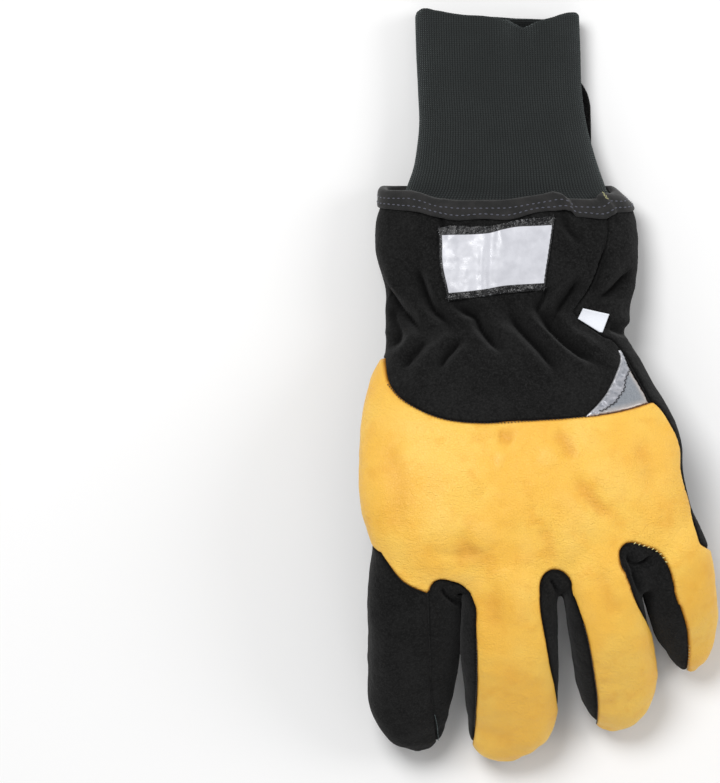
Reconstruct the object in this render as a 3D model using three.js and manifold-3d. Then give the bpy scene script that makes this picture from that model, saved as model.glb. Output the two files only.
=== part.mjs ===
// A firefighting glove for the left hand, lying palm down on a flat surface: the fingers curl down
// towards -Y, the knit cuff runs out towards +Y and the back of the hand faces up. Millimetres.
// Every wall is hollow inside, from the mouth of the cuff to the fingertips.
import * as THREE from "three";
import Module from "manifold-3d";

const wasm = await Module();
wasm.setup();

// Driving dimensions.
const bodyLength = 178; // knuckles to the rim of the gauntlet
const palmWidth = 144;
const handHeight = 70; // top of the knuckles over the floor
const leatherWall = 2.6; // leather with its padding
const seamGap = 0.3; // between two pieces that are sewn together
const knitLength = 81; // the knit cuff's length outside the gauntlet
const knitWidth = 73.5;
const knitHeight = 20;
const knitWall = 2.2;
const knitInset = 17; // how far the knit cuff reaches into the gauntlet
const tabLength = 60; // pull tab under the knit cuff, outside the gauntlet
const tabWidth = 74;
const tabWall = 2;
const tabInset = 9; // how far the tab reaches into the gauntlet
const bindingDepth = 7.5; // tape folded over the gauntlet's rim
const bindingWall = 1.2;
const labelLength = 47;
const labelWidth = 33;
const labelWall = 0.8;
const labelTurn = 6; // degrees
const tagLength = 13;
const tagWidth = 9;
const tagWall = 0.8;
const tagTurn = -14; // degrees
const sideSeam = -0.32; // height of the seam between side walls and palm, as a share of half a section

// Sections of the hand from the gauntlet's rim (along 0) to the finger webs (along 1). Sides are
// shares of the palm width, heights are shares of the hand height, roll is in degrees.
const bodyRows = [
  { along: 0.0, left: -0.484, right: 0.256, bottom: -0.09, top: 0.44, roll: 0 },
  { along: 0.065, left: -0.497, right: 0.291, bottom: -0.09, top: 0.48, roll: 0 },
  { along: 0.14, left: -0.503, right: 0.297, bottom: -0.08, top: 0.514, roll: 0 },
  { along: 0.216, left: -0.491, right: 0.281, bottom: -0.06, top: 0.53, roll: 0 },
  { along: 0.292, left: -0.478, right: 0.266, bottom: -0.02, top: 0.55, roll: 0 },
  { along: 0.355, left: -0.475, right: 0.256, bottom: 0.043, top: 0.62, roll: 0 },
  { along: 0.419, left: -0.488, right: 0.3, bottom: 0.086, top: 0.714, roll: 1 },
  { along: 0.482, left: -0.512, right: 0.356, bottom: 0.143, top: 0.8, roll: 2 },
  { along: 0.558, left: -0.538, right: 0.412, bottom: 0.229, top: 0.886, roll: 3 },
  { along: 0.633, left: -0.547, right: 0.441, bottom: 0.3, top: 0.943, roll: 4 },
  { along: 0.709, left: -0.55, right: 0.453, bottom: 0.357, top: 0.986, roll: 5 },
  { along: 0.785, left: -0.547, right: 0.472, bottom: 0.386, top: 1.0, roll: 6 },
  { along: 0.861, left: -0.525, right: 0.492, bottom: 0.414, top: 0.986, roll: 7 },
  { along: 0.924, left: -0.5, right: 0.498, bottom: 0.429, top: 0.95, roll: 7 },
  { along: 0.975, left: -0.469, right: 0.481, bottom: 0.457, top: 0.886, roll: 7 },
  { along: 1.013, left: -0.412, right: 0.438, bottom: 0.5, top: 0.8, roll: 6 },
];

// Each finger starts inside the hand at (startSide, startAlong), shares of the palm width and of
// the body length. Its rows run from there to the tip: along is a share of the finger's length,
// side of its width, height of the hand height, and width and depth of the finger's own. The seams
// are where the back piece ends, as shares of half the section's width. Web is the row where the
// finger leaves the hand, and where its own front and back pieces start.
const fingers = {
  index: {
    startSide: -0.369, startAlong: 0.861, length: 98.5, width: 42, depth: 32, roll: 6, web: 0,
    rows: [
      { along: -0.1, side: 0.03, height: 0.7, width: 0.6, depth: 0.6, leftSeam: -1.3, rightSeam: 0.3 },
      { along: 0.04, side: 0.0, height: 0.712, width: 0.88, depth: 0.92, leftSeam: -1.3, rightSeam: 0.3 },
      { along: 0.16, side: -0.032, height: 0.721, width: 0.97, depth: 1.0, leftSeam: -1.3, rightSeam: 0.3 },
      { along: 0.32, side: -0.064, height: 0.679, width: 0.955, depth: 0.988, leftSeam: -1.3, rightSeam: 0.33 },
      { along: 0.502, side: -0.069, height: 0.579, width: 0.945, depth: 0.95, leftSeam: -1.3, rightSeam: 0.37 },
      { along: 0.662, side: -0.08, height: 0.43, width: 0.9, depth: 0.906, leftSeam: -1.3, rightSeam: 0.46 },
      { along: 0.776, side: -0.091, height: 0.31, width: 0.868, depth: 0.875, leftSeam: -1.3, rightSeam: 0.56 },
      { along: 0.877, side: -0.064, height: 0.205, width: 0.707, depth: 0.812, leftSeam: -1.3, rightSeam: 0.7 },
      { along: 0.959, side: 0.0, height: 0.15, width: 0.429, depth: 0.594, leftSeam: -1.3, rightSeam: 1.0 },
      { along: 1.0, side: 0.021, height: 0.13, width: 0.171, depth: 0.312, leftSeam: -1.3, rightSeam: 1.3 },
    ],
  },
  middle: {
    startSide: -0.088, startAlong: 0.861, length: 103.5, width: 44, depth: 32, roll: 2, web: 2,
    rows: [
      { along: -0.1, side: 0.0, height: 0.73, width: 0.6, depth: 0.6, leftSeam: -0.72, rightSeam: 0.64 },
      { along: 0.04, side: 0.0, height: 0.748, width: 0.86, depth: 0.92, leftSeam: -0.72, rightSeam: 0.64 },
      { along: 0.174, side: 0.01, height: 0.757, width: 0.955, depth: 1.0, leftSeam: -0.72, rightSeam: 0.64 },
      { along: 0.348, side: 0.036, height: 0.707, width: 0.98, depth: 1.0, leftSeam: -0.735, rightSeam: 0.6 },
      { along: 0.522, side: 0.036, height: 0.607, width: 1.003, depth: 0.969, leftSeam: -0.727, rightSeam: 0.75 },
      { along: 0.674, side: 0.046, height: 0.45, width: 0.992, depth: 0.925, leftSeam: -0.773, rightSeam: 0.86 },
      { along: 0.804, side: 0.041, height: 0.29, width: 0.91, depth: 0.863, leftSeam: -0.86, rightSeam: 1.05 },
      { along: 0.904, side: 0.0, height: 0.19, width: 0.695, depth: 0.75, leftSeam: -1.05, rightSeam: 1.3 },
      { along: 0.965, side: 0.0, height: 0.14, width: 0.45, depth: 0.562, leftSeam: -1.3, rightSeam: 1.3 },
      { along: 1.0, side: 0.01, height: 0.12, width: 0.184, depth: 0.312, leftSeam: -1.5, rightSeam: 1.5 },
    ],
  },
  ring: {
    startSide: 0.181, startAlong: 0.836, length: 94, width: 35, depth: 31, roll: 10, web: 2,
    rows: [
      { along: -0.1, side: -0.03, height: 0.7, width: 0.65, depth: 0.6, leftSeam: -0.7, rightSeam: 0.6 },
      { along: 0.04, side: 0.0, height: 0.71, width: 0.9, depth: 0.92, leftSeam: -0.7, rightSeam: 0.6 },
      { along: 0.191, side: 0.039, height: 0.714, width: 1.04, depth: 1.006, leftSeam: -0.7, rightSeam: 0.55 },
      { along: 0.383, side: 0.09, height: 0.664, width: 1.02, depth: 1.0, leftSeam: -0.64, rightSeam: 0.73 },
      { along: 0.541, side: 0.18, height: 0.564, width: 0.99, depth: 0.968, leftSeam: -0.62, rightSeam: 0.97 },
      { along: 0.675, side: 0.257, height: 0.425, width: 0.98, depth: 0.929, leftSeam: -0.64, rightSeam: 1.2 },
      { along: 0.785, side: 0.302, height: 0.3, width: 0.926, depth: 0.89, leftSeam: -0.66, rightSeam: 1.3 },
      { along: 0.88, side: 0.283, height: 0.2, width: 0.771, depth: 0.813, leftSeam: -0.74, rightSeam: 1.3 },
      { along: 0.957, side: 0.219, height: 0.14, width: 0.489, depth: 0.581, leftSeam: -1.0, rightSeam: 1.3 },
      { along: 1.0, side: 0.167, height: 0.12, width: 0.206, depth: 0.323, leftSeam: -1.5, rightSeam: 1.5 },
    ],
  },
  little: {
    startSide: 0.388, startAlong: 0.823, length: 69.3, width: 32, depth: 30, roll: 24, web: 3,
    rows: [
      { along: -0.15, side: -0.12, height: 0.64, width: 0.55, depth: 0.5, leftSeam: -0.6, rightSeam: 1.3 },
      { along: 0.04, side: 0.02, height: 0.615, width: 0.85, depth: 0.8, leftSeam: -0.6, rightSeam: 1.3 },
      { along: 0.195, side: 0.113, height: 0.6, width: 0.97, depth: 0.967, leftSeam: -0.55, rightSeam: 1.3 },
      { along: 0.39, side: 0.197, height: 0.536, width: 0.99, depth: 0.967, leftSeam: -0.45, rightSeam: 1.3 },
      { along: 0.571, side: 0.267, height: 0.42, width: 0.96, depth: 0.947, leftSeam: -0.42, rightSeam: 1.3 },
      { along: 0.721, side: 0.309, height: 0.29, width: 0.844, depth: 0.907, leftSeam: -0.36, rightSeam: 1.3 },
      { along: 0.844, side: 0.345, height: 0.2, width: 0.605, depth: 0.8, leftSeam: -0.4, rightSeam: 1.3 },
      { along: 0.935, side: 0.352, height: 0.145, width: 0.394, depth: 0.6, leftSeam: -0.7, rightSeam: 1.3 },
      { along: 1.0, side: 0.366, height: 0.12, width: 0.183, depth: 0.333, leftSeam: -1.5, rightSeam: 1.5 },
    ],
  },
};
const thumb = {
  startSide: -0.425, startAlong: 0.532, length: 79.5, width: 36, depth: 27, roll: 0,
  rows: [
    { along: 0.0, side: 0.0, height: 0.514, width: 0.825, depth: 0.889 },
    { along: 0.141, side: 0.05, height: 0.443, width: 0.925, depth: 0.963 },
    { along: 0.311, side: 0.2, height: 0.343, width: 0.988, depth: 1.007 },
    { along: 0.48, side: 0.45, height: 0.25, width: 1.0, depth: 1.0 },
    { along: 0.633, side: 0.775, height: 0.196, width: 0.975, depth: 0.963 },
    { along: 0.768, side: 1.1, height: 0.181, width: 0.9, depth: 0.933 },
    { along: 0.876, side: 1.35, height: 0.176, width: 0.725, depth: 0.874 },
    { along: 0.955, side: 1.525, height: 0.171, width: 0.475, depth: 0.667 },
    { along: 1.0, side: 1.625, height: 0.171, width: 0.2, depth: 0.37 },
  ],
};
const thumbSeam = 0.25; // share of half the thumb's depth, where its back meets its front

// Sections of the knit cuff outside the gauntlet, from its rim (along 0) to the mouth (along 1).
// Rise is how far its floor is still lifted: 1 on the gauntlet's inner floor, 0 on the ground.
const knitRows = [
  { along: 0.0, left: -0.584, right: 0.635, rise: 1.0, top: 1.12 },
  { along: 0.03, left: -0.572, right: 0.623, rise: 1.0, top: 1.115 },
  { along: 0.11, left: -0.541, right: 0.592, rise: 0.6, top: 1.1 },
  { along: 0.239, left: -0.516, right: 0.549, rise: 0.05, top: 1.08 },
  { along: 0.35, left: -0.504, right: 0.518, rise: 0.0, top: 1.05 },
  { along: 0.533, left: -0.51, right: 0.488, rise: 0.0, top: 1.03 },
  { along: 0.76, left: -0.522, right: 0.479, rise: 0.0, top: 1.01 },
  { along: 1.0, left: -0.529, right: 0.469, rise: 0.0, top: 1.0 },
];

// Outline of the pull tab, from the rim (along 0) to its round end (along 1).
const tabRows = [
  { along: 0.0, width: 1.0 },
  { along: 0.544, width: 1.0 },
  { along: 0.656, width: 0.99 },
  { along: 0.75, width: 0.94 },
  { along: 0.82, width: 0.86 },
  { along: 0.88, width: 0.73 },
  { along: 0.936, width: 0.54 },
  { along: 0.984, width: 0.31 },
  { along: 1.0, width: 0.14 },
];

// Outlines of the sewn panels seen from above: side is a share of the palm width, along a share of
// the body length from the rim. Values past the glove's own sides make a panel wrap round them.
const goldOutline = [
  { side: -0.475, along: 0.425 },
  { side: -0.455, along: 0.494 },
  { side: -0.42, along: 0.527 },
  { side: -0.37, along: 0.55 },
  { side: -0.3, along: 0.575 },
  { side: -0.205, along: 0.586 },
  { side: -0.05, along: 0.582 },
  { side: 0.1, along: 0.574 },
  { side: 0.2, along: 0.566 },
  { side: 0.355, along: 0.534 },
  { side: 0.38, along: 0.55 },
  { side: 0.415, along: 0.6 },
  { side: 0.438, along: 0.65 },
  { side: 0.44, along: 0.704 },
  { side: 0.462, along: 0.772 },
  { side: 0.484, along: 0.84 },
  { side: 0.504, along: 0.889 },
  { side: 0.62, along: 0.95 },
  { side: 0.62, along: 1.065 },
  { side: 0.437, along: 1.065 },
  { side: 0.412, along: 1.009 },
  { side: 0.403, along: 0.956 },
  { side: 0.372, along: 0.909 },
  { side: 0.325, along: 0.893 },
  { side: 0.283, along: 0.904 },
  { side: 0.262, along: 0.935 },
  { side: 0.266, along: 0.976 },
  { side: 0.29, along: 1.03 },
  { side: 0.12, along: 1.03 },
  { side: 0.102, along: 0.983 },
  { side: 0.085, along: 0.963 },
  { side: 0.05, along: 0.959 },
  { side: 0.02, along: 0.973 },
  { side: 0.01, along: 1.02 },
  { side: -0.185, along: 1.02 },
  { side: -0.21, along: 0.99 },
  { side: -0.25, along: 0.978 },
  { side: -0.3, along: 0.98 },
  { side: -0.322, along: 0.99 },
  { side: -0.34, along: 1.015 },
  { side: -0.41, along: 0.99 },
  { side: -0.47, along: 0.935 },
  { side: -0.52, along: 0.865 },
  { side: -0.66, along: 0.83 },
  { side: -0.66, along: 0.5 },
];
const gauntletOutline = [
  { side: -0.66, along: -0.1 },
  { side: 0.21, along: -0.1 },
  { side: 0.2, along: 0.18 },
  { side: 0.155, along: 0.26 },
  { side: 0.11, along: 0.31 },
  { side: 0.2, along: 0.368 },
  { side: 0.25, along: 0.4 },
  { side: 0.3, along: 0.46 },
  { side: 0.37, along: 0.56 },
  { side: 0.3, along: 0.62 },
  { side: -0.3, along: 0.62 },
  { side: -0.45, along: 0.53 },
  { side: -0.475, along: 0.44 },
  { side: -0.66, along: 0.5 },
];
const trimOutline = [
  { side: 0.245, along: 0.4 },
  { side: 0.255, along: 0.42 },
  { side: 0.24, along: 0.47 },
  { side: 0.222, along: 0.5 },
  { side: 0.19, along: 0.535 },
  { side: 0.15, along: 0.568 },
  { side: 0.15, along: 0.64 },
  { side: 0.4, along: 0.6 },
  { side: 0.36, along: 0.53 },
  { side: 0.31, along: 0.47 },
  { side: 0.265, along: 0.41 },
];
// The strip of the gauntlet's back that comes round the thumb's side onto the palm.
const wrapOutline = [
  { side: -0.7, along: -0.1 },
  { side: -0.27, along: -0.1 },
  { side: -0.27, along: 0.2 },
  { side: -0.3, along: 0.33 },
  { side: -0.36, along: 0.4 },
  { side: -0.7, along: 0.42 },
];
// Palm leather that comes up over the little finger's side.
const palmEdgeOutline = [
  { side: 0.1, along: -0.1 },
  { side: 0.8, along: -0.1 },
  { side: 0.8, along: 1.0 },
  { side: 0.51, along: 1.0 },
  { side: 0.45, along: 0.9 },
  { side: 0.3, along: 0.56 },
  { side: 0.1, along: 0.34 },
];
// The index finger, up to the seam of its side wall.
const indexOutline = [
  { side: -0.8, along: 0.82 },
  { side: -0.5, along: 0.84 },
  { side: -0.46, along: 0.93 },
  { side: -0.41, along: 0.98 },
  { side: -0.342, along: 1.012 },
  { side: -0.336, along: 1.15 },
  { side: -0.326, along: 1.29 },
  { side: -0.307, along: 1.4 },
  { side: -0.28, along: 1.5 },
  { side: -0.8, along: 1.5 },
];

const floorOfBody = bindingWall + seamGap; // the gauntlet stands on its folded tape
const up = new THREE.Vector3(0, 0, 1);
const far = 200; // longer than anything here that is cut
const least = 1.2; // half size of the smallest section of a hollow
const finest = 0.1; // detail smaller than this is dropped from the finished pieces
const roundness = 2.5; // exponent of the sections: 2 is an ellipse

const sideOf = (share) => share * palmWidth;
const alongOf = (share) => -share * bodyLength;
const heightOf = (share) => floorOfBody + share * handHeight;

// A closed solid from an indexed list of corners.
function solid(corners, faces) {
  const vertProperties = new Float32Array(corners.flatMap((p) => [p.x, p.y, p.z]));
  return new wasm.Manifold(new wasm.Mesh({ numProp: 3, vertProperties, triVerts: new Uint32Array(faces) }));
}

// Joins rings of equal length into a closed skin with a fan over each end.
function skin(rings) {
  const count = rings[0].length;
  const centre = (ring) => ring.reduce((sum, p) => sum.add(p), new THREE.Vector3()).divideScalar(count);
  const first = centre(rings[0]);
  const last = centre(rings.at(-1));
  const corners = [...rings.flat(), first, last];
  const faces = [];
  for (let k = 0; k < count; k++) {
    const next = (k + 1) % count;
    for (let i = 0; i + 1 < rings.length; i++) {
      const a = i * count;
      const b = a + count;
      faces.push(a + k, a + next, b + next, a + k, b + next, b + k);
    }
    const end = (rings.length - 1) * count;
    faces.push(corners.length - 2, next, k, corners.length - 1, end + k, end + next);
  }
  return solid(corners, faces);
}

// A section has a centre, the directions across and up, and half sizes a and b. Roll turns its right side down.
function section(centre, direction, roll, a, b) {
  const across = new THREE.Vector3().crossVectors(up, direction).setZ(0).normalize();
  across.applyAxisAngle(direction, -THREE.MathUtils.degToRad(roll));
  return { centre, direction, across, upward: new THREE.Vector3().crossVectors(direction, across), a, b };
}

const pointOf = (s, u, v) => s.centre.clone().addScaledVector(s.across, u).addScaledVector(s.upward, v);

// The rounded outline of a section, grown outwards, and flattened where it meets the floor.
function outline(s, grow, floor, sides) {
  const rounded = (value) => Math.sign(value) * Math.abs(value) ** (2 / roundness);
  return Array.from({ length: sides }, (_, k) => {
    const angle = (2 * Math.PI * (k + 0.5)) / sides;
    const p = pointOf(s, (s.a + grow) * rounded(Math.cos(angle)), (s.b + grow) * rounded(Math.sin(angle)));
    return p.setZ(Math.max(p.z, floor - grow));
  });
}

// Moves the first and last sections along the tube, outwards where the distance is positive.
function stretched(sections, atStart, atEnd) {
  const moved = sections.map((s) => ({ ...s, centre: s.centre.clone() }));
  moved[0].centre.addScaledVector(moved[0].direction, -atStart);
  moved.at(-1).centre.addScaledVector(moved.at(-1).direction, atEnd);
  return moved;
}

function tube(sections, grow, floor, sides) {
  const kept = sections.filter((s) => Math.min(s.a, s.b) + grow > least);
  return skin(kept.map((s) => outline(s, grow, floor, sides)));
}

// A square-edged region that follows a tube: from and to give its reach across as shares of half
// the width for each section, low and high its reach upwards as shares of half the depth.
function channel(sections, from, to, low, high, grow = 0) {
  const rings = sections.map((s) => {
    const [left, right] = [from(s) * s.a - grow, to(s) * s.a + grow];
    const [bottom, top] = [low * s.b - grow, high * s.b + grow];
    return [pointOf(s, left, bottom), pointOf(s, right, bottom), pointOf(s, right, top), pointOf(s, left, top)];
  });
  return skin(rings);
}

// An upright prism over a panel's outline, grown outwards by its corners' normals.
function prism(corners, grow = 0, low = -far, high = far) {
  const flat = corners.map((c) => new THREE.Vector2(sideOf(c.side), alongOf(c.along)));
  const turn = THREE.ShapeUtils.isClockWise(flat) ? 1 : -1;
  const grown = flat.map((p, i) => {
    const before = flat.at(i - 1);
    const after = flat[(i + 1) % flat.length];
    const along = after.clone().sub(p).normalize().add(p.clone().sub(before).normalize()).normalize();
    return p.clone().add(new THREE.Vector2(-along.y, along.x).multiplyScalar(turn * grow));
  });
  return prismOf(grown, low, high);
}

function prismOf(points, low, high) {
  const wanted = THREE.ShapeUtils.isClockWise(points) ? points.toReversed() : points;
  const shape = new THREE.Shape(wanted);
  const faces = THREE.ShapeUtils.triangulateShape(shape.getPoints(), []);
  const count = wanted.length;
  const corners = [low, high].flatMap((z) => wanted.map((p) => new THREE.Vector3(p.x, p.y, z)));
  const list = faces.flatMap(([a, b, c]) => [c, b, a, a + count, b + count, c + count]);
  for (let k = 0; k < count; k++) {
    const next = (k + 1) % count;
    list.push(k, next, next + count, k, next + count, k + count);
  }
  return solid(corners, list);
}

// A turned rectangle in plan, for a label or a tag.
function plate(side, along, length, width, degrees) {
  const turn = THREE.MathUtils.degToRad(degrees);
  const centre = new THREE.Vector2(sideOf(side), alongOf(along));
  const corners = [[-0.5, -0.5], [0.5, -0.5], [0.5, 0.5], [-0.5, 0.5]];
  const placed = corners.map(([x, y]) => new THREE.Vector2(x * length, y * width).rotateAround(new THREE.Vector2(), turn).add(centre));
  return prismOf(placed, -far, far);
}

const joined = (list) => list.reduce((sum, one) => sum.add(one));
const largest = (made) => made.decompose().reduce((best, one) => (one.volume() > best.volume() ? one : best));

// The hand's sections stand square to Y.
const bodySections = bodyRows.map((row) => {
  const [left, right] = [sideOf(row.left), sideOf(row.right)];
  const [bottom, top] = [heightOf(row.bottom), heightOf(row.top)];
  const centre = new THREE.Vector3((left + right) / 2, alongOf(row.along), (bottom + top) / 2);
  return section(centre, new THREE.Vector3(0, -1, 0), row.roll, (right - left) / 2, (top - bottom) / 2);
});

function fingerSections(finger) {
  const centres = finger.rows.map((row) => new THREE.Vector3(
    sideOf(finger.startSide) + row.side * finger.width,
    alongOf(finger.startAlong) - row.along * finger.length,
    row.height * handHeight,
  ));
  return finger.rows.map((row, i) => {
    const before = centres[Math.max(i - 1, 0)];
    const after = centres[Math.min(i + 1, centres.length - 1)];
    const direction = after.clone().sub(before).normalize();
    const made = section(centres[i], direction, finger.roll, (row.width * finger.width) / 2, (row.depth * finger.depth) / 2);
    return { ...made, leftSeam: row.leftSeam, rightSeam: row.rightSeam };
  });
}

const bodySides = 32;
const fingerSides = 16;
const openEnd = 6; // how far a hollow runs out past an open end
const fingerNames = Object.keys(fingers);
const sectionsOf = Object.fromEntries(fingerNames.map((name) => [name, fingerSections(fingers[name])]));
const thumbSections = fingerSections(thumb);

const bodyTube = (grow, atRim = 0, atWeb = 0) =>
  tube(stretched(bodySections, atRim, atWeb), grow, floorOfBody, bodySides);
const fingerTube = (name, grow) => tube(sectionsOf[name], grow, 0, fingerSides);
const handOutside = (grow) => joined([bodyTube(grow), ...fingerNames.map((name) => fingerTube(name, grow))]);
const handHollow = joined([
  bodyTube(-leatherWall, openEnd, -leatherWall),
  ...fingerNames.map((name) => fingerTube(name, -leatherWall)),
]);
const thumbHollow = tube(thumbSections, -leatherWall, 0, fingerSides);
const handShell = handOutside(0).subtract(handHollow).subtract(thumbHollow);

// Regions of the panels. Each is cut out of what the ones before it leave, a seam's gap apart.
const all = () => 4;
const whole = () => -4;
const tipReach = 12; // how far a region runs past the end of a finger or of the hand
const aboveSideSeam = (grow) => channel(stretched(bodySections, openEnd, tipReach), whole, all, sideSeam, 4, grow);
const fromWeb = (name) => stretched(sectionsOf[name].slice(fingers[name].web), 0, tipReach);
const backOf = (name, grow) => channel(fromWeb(name), (s) => s.leftSeam, (s) => s.rightSeam, sideSeam, 4, grow);
const ownSide = 1.04; // share of half a finger's width that takes in its whole width
const frontOf = (name, grow) => channel(fromWeb(name), () => -ownSide, () => ownSide, -4, sideSeam, grow);

const goldRegion = (grow) => joined([
  prism(goldOutline, grow).intersect(aboveSideSeam(grow)),
  ...["middle", "ring", "little"].map((name) => backOf(name, grow)),
]);
const aboveIndexSeam = (grow) => channel(fromWeb("index"), whole, all, sideSeam, 4, grow);
const indexBackRegion = (grow) => prism(indexOutline, grow).intersect(aboveIndexSeam(grow));
const gauntletRegion = (grow) => prism(gauntletOutline, grow).intersect(aboveSideSeam(grow)).add(prism(wrapOutline, grow));
const trimRegion = (grow) => prism(trimOutline, grow).intersect(aboveSideSeam(grow));
const aroundBody = [{ side: -1, along: -0.1 }, { side: 1, along: -0.1 }, { side: 1, along: 0.98 }, { side: -1, along: 0.98 }];
const belowSideSeam = prism(aroundBody).subtract(aboveSideSeam(0));
const palmRegion = (grow) => joined([
  belowSideSeam,
  prism(palmEdgeOutline, grow),
  prism(indexOutline, grow),
  frontOf("index", grow),
  frontOf("little", grow),
]);

const panelRegions = {
  back_leather: goldRegion,
  reflective_trim: trimRegion,
  gauntlet_back: gauntletRegion,
  index_back: indexBackRegion,
  front_middle: (grow) => frontOf("middle", grow),
  front_ring: (grow) => frontOf("ring", grow),
  palm: palmRegion,
};
const pieces = {};
let left = handShell;
for (const [name, region] of Object.entries(panelRegions)) {
  pieces[name] = largest(left.intersect(region(0)));
  left = left.subtract(region(seamGap));
}
// What is left is the side walls between the fingers, from the thumb's side to the little finger's.
const middleX = (made) => (made.boundingBox().min[0] + made.boundingBox().max[0]) / 2;
const sideWalls = left.decompose().sort((a, b) => b.volume() - a.volume()).slice(0, 3).sort((a, b) => middleX(a) - middleX(b));
["side_wall_index_middle", "side_wall_middle_ring", "side_wall_ring_little"].forEach((name, i) => {
  pieces[name] = sideWalls[i];
});

const thumbShell = tube(thumbSections, 0, 0, fingerSides).subtract(thumbHollow).subtract(handOutside(seamGap));
const thumbUpper = (grow) => channel(stretched(thumbSections, 0, tipReach), whole, all, thumbSeam, 6, grow);
pieces.thumb_back = largest(thumbShell.intersect(thumbUpper(0)));
pieces.thumb_front = largest(thumbShell.subtract(thumbUpper(seamGap)));

// Tape folded over the rim of the gauntlet.
const rimSlab = prismOf(
  [[-far, -bindingDepth], [far, -bindingDepth], [far, far], [-far, far]].map(([x, y]) => new THREE.Vector2(x, y)),
  -far,
  far,
);
pieces.edge_binding = bodyTube(seamGap + bindingWall, seamGap + bindingWall)
  .intersect(rimSlab)
  .subtract(bodyTube(seamGap, seamGap))
  .subtract(bodyTube(-leatherWall, openEnd));

// The knit cuff starts inside the gauntlet, a gap off its walls, and comes out to the open mouth.
const knitMiddle = (bodySections[0].centre.x + bodySections[1].centre.x) / 2;
const insideFloor = floorOfBody + leatherWall + seamGap; // the gauntlet's inner floor
const knitFloorInside = insideFloor + tabWall + seamGap;
const knitFloorOutside = tabWall + seamGap;
const knitSides = 36;
function knitRings(grow) {
  const inner = [knitInset, knitInset * 0.55].map((depth) => {
    const share = depth / bodyLength / bodyRows[1].along;
    const [rim, next] = bodySections;
    const mix = (key) => rim[key] + (next[key] - rim[key]) * Math.min(share, 1);
    const centre = rim.centre.clone().lerp(next.centre, Math.min(share, 1)).setY(-depth);
    const slack = leatherWall + seamGap + (knitInset - depth) * 0.2;
    const made = section(centre, new THREE.Vector3(0, 1, 0), 0, mix("a") - slack, mix("b") - slack);
    return outline(made, grow, knitFloorInside, knitSides);
  });
  const outer = knitRows.map((row) => {
    const floor = THREE.MathUtils.lerp(knitFloorOutside, knitFloorInside, row.rise);
    const [bottom, top] = [floor - knitWall * 0.6, (floor + knitFloorOutside) / 2 + row.top * knitHeight];
    const centre = new THREE.Vector3(
      knitMiddle + ((row.left + row.right) / 2) * knitWidth,
      row.along * knitLength,
      (bottom + top) / 2,
    );
    const made = section(centre, new THREE.Vector3(0, 1, 0), 0, ((row.right - row.left) / 2) * knitWidth, (top - bottom) / 2);
    return outline(made, grow, floor, knitSides);
  });
  return [...inner, ...outer];
}
function longer(rings, by) {
  const moved = rings.map((ring) => ring.map((p) => p.clone()));
  moved[0].forEach((p) => p.setY(p.y - by));
  moved.at(-1).forEach((p) => p.setY(p.y + by));
  return moved;
}
pieces.knit_cuff = skin(knitRings(0)).subtract(skin(longer(knitRings(-knitWall), 1)));

// The tab lies under the knit cuff, and is held between it and the gauntlet's palm side. It has a
// section wherever the knit cuff's floor bends, so that the two stay a gap apart.
const tabOffset = 0.042; // share of the tab's width that it sits off the cuff's middle
function valueAt(rows, along, key) {
  const after = Math.max(rows.findIndex((row) => row.along >= along), 1);
  const [low, high] = [rows[after - 1], rows[after]];
  return THREE.MathUtils.mapLinear(along, low.along, high.along, low[key], high[key]);
}
const knitBends = knitRows.map((row) => row.along * knitLength).filter((y) => y < tabLength);
const tabEdges = tabRows.map((row) => row.along * tabLength);
const tabStops = [...new Set([-tabInset, ...knitBends, ...tabEdges])].sort((a, b) => a - b);
pieces.pull_tab = skin(tabStops.map((y) => {
  const half = (valueAt(tabRows, Math.max(y, 0) / tabLength, "width") * tabWidth) / 2;
  const x = knitMiddle + tabOffset * tabWidth;
  const z = valueAt(knitRows, Math.max(y, 0) / knitLength, "rise") * insideFloor;
  const corners = [[half, z], [-half, z], [-half, z + tabWall], [half, z + tabWall]];
  return corners.map(([side, height]) => new THREE.Vector3(x + side, y, height));
}));

const labelSide = -0.119;
const labelAlong = 0.174;
const skinOver = (wall) => bodyTube(seamGap + wall).subtract(bodyTube(seamGap));
const topHalf = channel(bodySections, whole, all, 0, 6);
const onBack = (wall, cutter) => largest(skinOver(wall).intersect(cutter).intersect(topHalf));
pieces.label_patch = onBack(labelWall, plate(labelSide, labelAlong, labelLength, labelWidth, labelTurn));
pieces.size_tag = onBack(tagWall, plate(0.172, 0.334, tagLength, tagWidth, tagTurn));

// Colours and finishes.
const finish = (color, roughness, metalness = 0) => new THREE.MeshStandardMaterial({ color, roughness, metalness });
const gold = finish(0xf2b84b, 0.5);
const blackSuede = finish(0x161617, 0.95);
const blackKnit = finish(0x25292a, 0.9);
const blackTape = finish(0x252324, 0.7);
const silver = finish(0x9ea3aa, 0.35, 0.3);
const paleVinyl = finish(0xc9c9cf, 0.25);
const whiteCloth = finish(0xf2f3fa, 0.7);
const finishOf = {
  back_leather: gold,
  reflective_trim: silver,
  knit_cuff: blackKnit,
  edge_binding: blackTape,
  label_patch: paleVinyl,
  size_tag: whiteCloth,
};

function meshOf(name, made) {
  const { vertProperties, triVerts, numProp } = largest(made.simplify(finest)).getMesh();
  const flat = new Float32Array((vertProperties.length / numProp) * 3);
  for (let i = 0; i < flat.length / 3; i++) flat.set(vertProperties.subarray(i * numProp, i * numProp + 3), i * 3);
  const geometry = new THREE.BufferGeometry();
  geometry.setAttribute("position", new THREE.BufferAttribute(flat, 3));
  geometry.setIndex(new THREE.BufferAttribute(triVerts, 1));
  geometry.computeVertexNormals();
  const mesh = new THREE.Mesh(geometry, finishOf[name] ?? blackSuede);
  mesh.name = name;
  return mesh;
}

const glove = new THREE.Group();
glove.name = "firefighter_glove";
for (const [name, made] of Object.entries(pieces)) glove.add(meshOf(name, made));

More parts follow.
